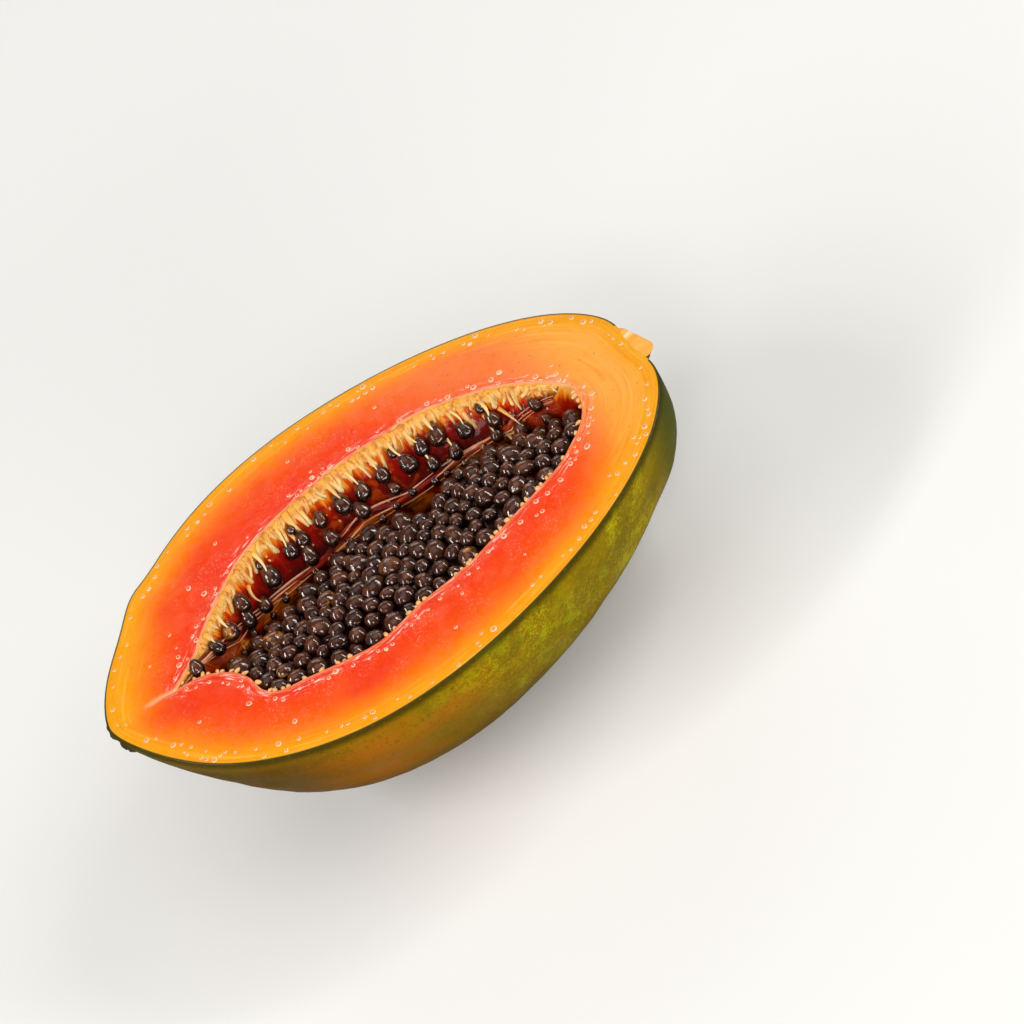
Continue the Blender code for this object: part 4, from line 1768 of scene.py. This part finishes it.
@dataclass
class Seeds:
    """Seeds of the heap and of the far wall, with the pulp under the heap, near-black as painted
    shade.
    """

    shape: FruitShape
    place: Placement
    pitch: float = 6.15
    typical: float = 6.55
    bays: tuple[Triple, ...] = (
        (60.0, 11.0, 5.0), (110.0, 10.5, 12.0), (147.0, 5.0, 2.5),
    )
    settle_steps: int = 90
    rows: tuple[int, int] = (-8, 7)
    row_seeds: int = 28
    first_x: float = 20.0
    far_depth: float = 12.5
    near_depth: float = 4.0
    pulp_drop: float = 1.3
    pulp_floor: float = -24.0
    wall_rows: tuple[tuple[float, ...], ...] = (
        (6.8, 6.1, 6.9, 28.0, 159.0), (10.5, 5.2, 6.2, 31.0, 158.0),
        (4.6, 3.3, 13.0, 34.0, 150.0), (13.4, 2.8, 6.0, 36.0, 140.0),
        (17.5, 5.9, 5.2, 146.0, 161.0), (9.4, 2.5, 3.4, 33.0, 62.0),
        (15.5, 2.6, 4.1, 38.0, 58.0),
    )

    def region(self, count: int = 240) -> Array:
        """Outline of the heap seen from above, a little inside the hollow.

        Args:
            count: Number of points.

        Returns:
            Points in the plane.
        """
        far = self.shape.rim_half(Side.FAR, count // 2)
        near = self.shape.rim_half(Side.NEAR, count // 2)
        far = self.shape.wall(far, self.far_depth)[:, :2]
        near = self.shape.wall(near, self.near_depth)[:, :2]
        bay = sum(deep * bell((far[:, 0] - x) / wide) for x, wide, deep in self.bays)
        far[:, 1] -= (0.7 + bay) * smooth(2.0, 12.0, far[:, 1])
        return np.vstack([far, near])

    @staticmethod
    def within(points: Array, ring: Array) -> Array:
        """True for each point inside a closed ring.

        Args:
            points: Points, one a row.
            ring: Closed ring of points in the plane.

        Returns:
            One truth value a point.
        """
        hits = np.zeros(len(points), bool)
        x, y = points.T
        for (x0, y0), (x1, y1) in zip(ring, np.roll(ring, -1, axis=0)):
            cross = (y0 > y) != (y1 > y)
            slope = (x1 - x0) * (y - y0) / ((y1 - y0) or 1e-9) + x0
            hits ^= cross & (x < slope)
        return hits

    def settle(self, plan: Array, size: Array, lower: float) -> tuple[Array, Array]:
        """Let seeds push each other apart on the heap.

        Args:
            plan: First places in the plane.
            size: Length of each seed.
            lower: How far below the heap's surface the layer lies.

        Returns:
            Centres in millimetres and the sizes of the seeds that stay.
        """
        ring = self.region()
        border = close_ring(ring)
        middle = self.shape.heap_middle()
        for _ in range(self.settle_steps):
            height = self.shape.heap(plan[:, 0], plan[:, 1])
            spots = np.column_stack([plan, height])
            gap = spots[:, None, :] - spots[None, :, :]
            away = np.linalg.norm(gap, axis=2) + np.eye(len(plan)) * 99.0
            need = 0.5 * (size[:, None] + size[None, :]) * 0.97
            press = np.maximum(0.0, need - away) / away * 0.35
            plan = plan + (press[:, :, None] * gap[:, :, :2]).sum(1)
            out = distance_to_line(plan, border)
            out = np.where(self.within(plan, ring), out, -out)
            short = np.clip(0.5 * size + 0.1 - out, 0.0, 1.2)
            inward = middle - plan
            inward /= np.linalg.norm(inward, axis=1)[:, None]
            inward[:, 0] *= 0.35
            plan = plan + inward * short[:, None] * 0.6
        out = distance_to_line(plan, border)
        keep = self.within(plan, ring) & (out > 0.3 * size)
        plan, size = plan[keep], size[keep]
        height = self.shape.heap(plan[:, 0], plan[:, 1]) - lower
        height = np.minimum(height, -0.5 * size - 0.15)
        return np.column_stack([plan, height]), size

    def layer(self, seed: int, shift: float, lower: float) -> tuple[Array, Array]:
        """Centres and sizes of one layer of the heap.

        Args:
            seed: Seed of its chances.
            shift: Shift of its grid.
            lower: How far below the heap's surface it lies.

        Returns:
            Centres and sizes in millimetres.
        """
        draw = random.Random(seed)
        plan, size = [], []
        for row in range(*self.rows):
            for k in range(self.row_seeds):
                along = (k + 0.5 * (row % 2)) * self.pitch
                x = self.first_x + shift + along + draw.uniform(-1.0, 1.0)
                y = row * self.pitch * 0.88 + shift + draw.uniform(-0.9, 0.9)
                plan.append((x, y))
                big = draw.random()
                size.append(self.typical * (0.74 + 0.36 * big) * (1.1 if big > 0.85 else 1.0))
        plan, size = np.array(plan), np.array(size)
        keep = self.within(plan, self.region())
        return self.settle(plan[keep], size[keep], lower)

    def heap(self, scatter: ScatterTree, finish: Material) -> Piece:
        """The loose seeds, in a top layer and one that fills its gaps.

        Args:
            scatter: Node tree that copies a shape onto points.
            finish: Material of the piece.

        Returns:
            The piece heap_seeds.
        """
        draw = random.Random(77)
        top, top_size = self.layer(41, 0.0, 0.1)
        low, low_size = self.layer(43, 2.7, 3.2)
        centres = np.vstack([top, low])
        size = np.concatenate([top_size, low_size])
        centres[:, 2] += np.array([draw.uniform(-0.5, 0.35) for _ in size])
        centres[:, 2] = np.minimum(centres[:, 2], -0.5 * size - 0.1)
        turns = [[draw.uniform(-1.3, 1.3), draw.uniform(-1.3, 1.3), draw.uniform(0.0, 6.28)]
                 for _ in size]
        long = np.array([draw.uniform(1.0, 1.22) for _ in size])
        sizes = np.column_stack([size * 0.92, size * 0.92, size * 0.95 * long])
        ball = unit_ball("seed_shape", 12, 8, 0.1)
        LOG.info("heap: %d seeds", len(size))
        return scatter.piece("heap_seeds", self.place, centres, np.array(turns), sizes, ball,
                             finish, 0.55, 330.0, 7)

    def pulp(self) -> Piece:
        """Pulp that fills the hollow under the seeds; its near-black colour is painted shade.

        Returns:
            The piece heap_pulp.
        """
        maker = MeshMaker()
        ring = self.region(160)
        centre = self.shape.heap_middle()
        rows = []
        for share in np.linspace(0.0, 0.97, 22):
            plan = ring * (1.0 - share) + centre * share
            height = self.shape.heap(plan[:, 0], plan[:, 1]) - self.pulp_drop
            points = np.column_stack([plan, height])
            points[:, 2] += 0.4 * ripple(points, 2.5)
            rows.append(maker.add(points))
        floor = np.column_stack([ring * 0.8 + centre * 0.2,
                                 np.full(len(ring), self.pulp_floor)])
        base = maker.add(floor)
        for outer, inner in zip(rows, rows[1:]):
            maker.strip(inner, outer)
        maker.strip(rows[0], base)
        height = float(self.shape.heap(centre[:1], centre[1:])[0]) - self.pulp_drop
        top = maker.add(np.array([*centre, height]))
        foot = maker.add(np.array([*centre, self.pulp_floor]))
        maker.cap(rows[-1], top[0], flip=True)
        maker.cap(base, foot[0])
        return maker.piece("heap_pulp", self.place, [PulpShadeFinish().build()])

    def wall_spots(self) -> list[tuple[Array, float]]:
        """Centres and sizes of the seeds on the far wall, in rows that thin out downwards.

        Returns:
            Centres and sizes in millimetres.
        """
        draw = random.Random(11)
        found: list[tuple[Array, float]] = []
        for depth, typical, pitch, first, last in self.wall_rows:
            for k in range(int((last - first) / pitch) + 1):
                x = first + k * pitch + draw.uniform(-1.6, 1.6)
                far = float(self.shape.rim_y(Side.FAR, np.array([x]))[0])
                drop = depth * float(smooth(-2.0, 16.0, far)) + draw.uniform(-0.9, 0.9)
                size = typical * draw.uniform(0.82, 1.1)
                size *= 0.75 + 0.25 * float(smooth(4.0, 20.0, far))
                rim = np.array([[x, far]])
                spot = self.shape.wall(rim, max(1.6, drop))[0]
                spot += np.array([0.0, -0.26, 0.2]) * size
                if all(np.linalg.norm(spot - other) > 0.47 * (size + length)
                       for other, length in found):
                    found.append((spot, size))
        return found

    def on_wall(self, scatter: ScatterTree, finish: Material,
                spots: list[tuple[Array, float]]) -> Piece:
        """The seeds that stick to the far wall, drawn out towards their stalks.

        Args:
            scatter: Node tree that copies a shape onto points.
            finish: Material of the piece.
            spots: Centres and sizes of the seeds.

        Returns:
            The piece wall_seeds.
        """
        draw = random.Random(19)
        turns = [[-0.75 + draw.uniform(-0.3, 0.3), draw.uniform(-0.35, 0.35),
                  draw.uniform(-0.5, 0.5)] for _ in spots]
        sizes = [(size * 0.9, size * 0.9, size * draw.uniform(1.02, 1.2)) for _, size in spots]
        ball = unit_ball("drop_shape", 14, 10, 0.16, 1.0, 0.08)
        LOG.info("far wall: %d seeds", len(spots))
        return scatter.piece("wall_seeds", self.place, np.array([c for c, _ in spots]),
                             np.array(turns), np.array(sizes), ball, finish, 0.4, 420.0, 9)


@dataclass
class Juice:
    """Beads of juice on the cut face, most along its edge and along the hollow's rim."""

    shape: FruitShape
    place: Placement
    at_edge: int = 140
    at_rim: int = 120
    between: int = 22
    edge_band: tuple[float, float] = (1.6, 5.2)
    rim_band: tuple[float, float] = (-4.0, -1.6)
    middle_band: tuple[float, float] = (-17.0, -5.0)

    def beads(self, scatter: ScatterTree) -> Piece:
        """The beads as one piece.

        Args:
            scatter: Node tree that copies a shape onto points.

        Returns:
            The piece juice_beads.
        """
        draw = random.Random(52)
        outline, rim = self.shape.outline(EDGE_POINTS), self.shape.rim(EDGE_POINTS)
        spots, sizes = [], []
        plans = ((outline, self.at_edge, self.edge_band), (rim, self.at_rim, self.rim_band),
                 (rim, self.between, self.middle_band))
        for line, count, (low, high) in plans:
            for _ in range(count):
                k = draw.randrange(EDGE_POINTS)
                run = line[(k + 2) % EDGE_POINTS] - line[k - 2]
                side = np.array([run[1], -run[0]]) / np.linalg.norm(run)
                spot = line[k] + side * draw.uniform(low, high)
                if Seeds.within(spot[None], rim)[0] or not Seeds.within(spot[None], outline)[0]:
                    continue
                wide = draw.uniform(0.9, 1.5) if draw.random() < 0.65 else draw.uniform(1.5, 2.2)
                if all(np.linalg.norm(spot - other[:2]) > 0.6 * (wide + had[0])
                       for other, had in zip(spots, sizes)):
                    spots.append((*spot, -0.02))
                    sizes.append((wide, wide * draw.uniform(0.8, 1.0), 0.4))
        turns = [[0.0, 0.0, draw.uniform(0.0, 6.28)] for _ in spots]
        ball = unit_ball("bead_shape", 12, 6, 0.0, 0.15)
        return scatter.piece("juice_beads", self.place, np.array(spots), np.array(turns),
                             np.array(sizes), ball, JuiceFinish().build(), 0.0, 300.0, 3)


@dataclass
class Studio:
    """Pale floor, soft lights and the camera at the picture's viewing angle."""

    place: Placement
    azimuth: float = -6.0
    elevation: float = 47.0
    roll: float = 32.87
    distance: float = 0.894
    lens: float = 112.5
    aim: Triple = (125.33, -23.8, 0.0)
    floor_reach: float = 4.0
    surround: float = 0.12
    lamps: tuple[tuple[str, Triple, tuple[float, float], float, Triple], ...] = (
        ("sky", (0.0, 0.1, 2.0), (1.6, 1.6), 6.0, (1.0, 0.0, 0.0)),
        ("strip", (1.20, -0.10, 0.85), (1.5, 0.16), 11.0, (-0.33, 0.71, 0.6)),
        ("key", (-1.25, -0.05, 0.85), (1.2, 0.18), 13.0, (0.3, 0.69, 0.66)),
        ("low", (0.10, -1.40, 0.35), (1.8, 0.22), 12.0, (1.0, 0.0, 0.0)),
        ("front", (-0.45, -1.10, 0.95), (0.4, 0.4), 4.0, (1.0, 0.0, 0.0)),
        ("back", (0.30, 1.30, 0.70), (1.2, 0.5), 4.0, (1.0, 0.0, 0.0)),
    )

    def camera(self) -> None:
        """Camera whose view matches the picture's frame."""
        a, e, rho = (math.radians(v) for v in (self.azimuth, self.elevation, self.roll))
        back = Vector((math.sin(a) * math.cos(e), -math.cos(a) * math.cos(e), math.sin(e)))
        right = Vector((math.cos(a), math.sin(a), 0.0))
        up = back.cross(right)
        side = right * math.cos(rho) - up * math.sin(rho)
        top = right * math.sin(rho) + up * math.cos(rho)
        data = bpy.data.cameras.new("camera")
        data.lens, data.sensor_width = self.lens, 36.0
        camera = add_object("camera", data)
        target = Vector(self.place.metres(np.array([self.aim]))[0])
        turn = Matrix((side, top, back)).transposed().to_4x4()
        camera.matrix_world = Matrix.Translation(target + back * self.distance) @ turn
        bpy.context.scene.camera = camera

    def lights(self) -> None:
        """Soft lights round the fruit and a pale surround."""
        for name, spot, (long, wide), power, along in self.lamps:
            data = bpy.data.lights.new(name, "AREA")
            data.shape, data.size, data.size_y, data.energy = "RECTANGLE", long, wide, power
            light = add_object(name, data)
            away = Vector(spot).normalized()
            across = away.cross(Vector(along)).normalized()
            turn = Matrix((across.cross(away), across, away)).transposed().to_4x4()
            light.matrix_world = Matrix.Translation(Vector(spot)) @ turn
        world = bpy.data.worlds.new("surround")
        world.use_nodes = True
        shade = world.node_tree.nodes["Background"]
        shade.inputs["Color"].default_value = (1.0, 0.99, 0.97, 1.0)
        shade.inputs["Strength"].default_value = self.surround
        bpy.context.scene.world = world
        bpy.context.scene.view_settings.view_transform = "Standard"

    def floor(self) -> None:
        """Plain pale floor."""
        mesh = bpy.data.meshes.new("floor")
        corners = [(self.floor_reach * x, self.floor_reach * y, 0.0)
                   for x, y in ((-1, -1), (1, -1), (1, 1), (-1, 1))]
        mesh.from_pydata(corners, [], [(0, 1, 2, 3)])
        mesh.materials.append(Graph("floor").finish("#f4f2ee", 0.7))
        floor = add_object("floor", mesh)


def install(piece: Piece, slot: Slot, *nodes: str) -> None:
    """Tie a piece to the frame.

    Args:
        piece: The finished object.
        slot: Material slot of the record; not used.
        *nodes: CAD nodes that the piece stands for.
    """
    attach(piece, BODY)
    if nodes:
        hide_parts(*nodes)
    LOG.info("%s: %d faces", piece.name, len(piece.data.polygons))


def main() -> None:
    """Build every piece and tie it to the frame."""
    logging.basicConfig(level=logging.INFO, format="%(name)s %(message)s")
    shape = FruitShape()
    place = Placement.from_frame(shape.tip_x)
    scatter = ScatterTree("scatter_on_points")

    half = PapayaHalf(shape, place)
    install(half.body(), Slot.FLESH, HALF_NODE)
    install(half.stem_stub(), Slot.FLESH, HALF_NODE)
    install(half.blossom_scar(), Slot.FLESH, HALF_NODE)

    seeds = Seeds(shape, place)
    finish = SeedFinish().build()
    spots = seeds.wall_spots()
    install(seeds.pulp(), Slot.SEED, HEAP_NODE)
    install(seeds.heap(scatter, finish), Slot.SEED, HEAP_NODE)
    install(seeds.on_wall(scatter, finish, spots), Slot.SEED, HALF_NODE)

    tissue = HollowTissue(shape, place, half.ridge_depth)
    install(tissue.fringe(), Slot.FLESH, HALF_NODE)
    install(tissue.ridge(), Slot.FLESH)
    install(tissue.stalks(spots), Slot.FLESH)
    install(tissue.nubs(scatter), Slot.FLESH)
    install(Juice(shape, place).beads(scatter), Slot.FLESH)

    studio = Studio(place)
    studio.floor()
    studio.lights()
    studio.camera()


if __name__ == "__main__":
    main()
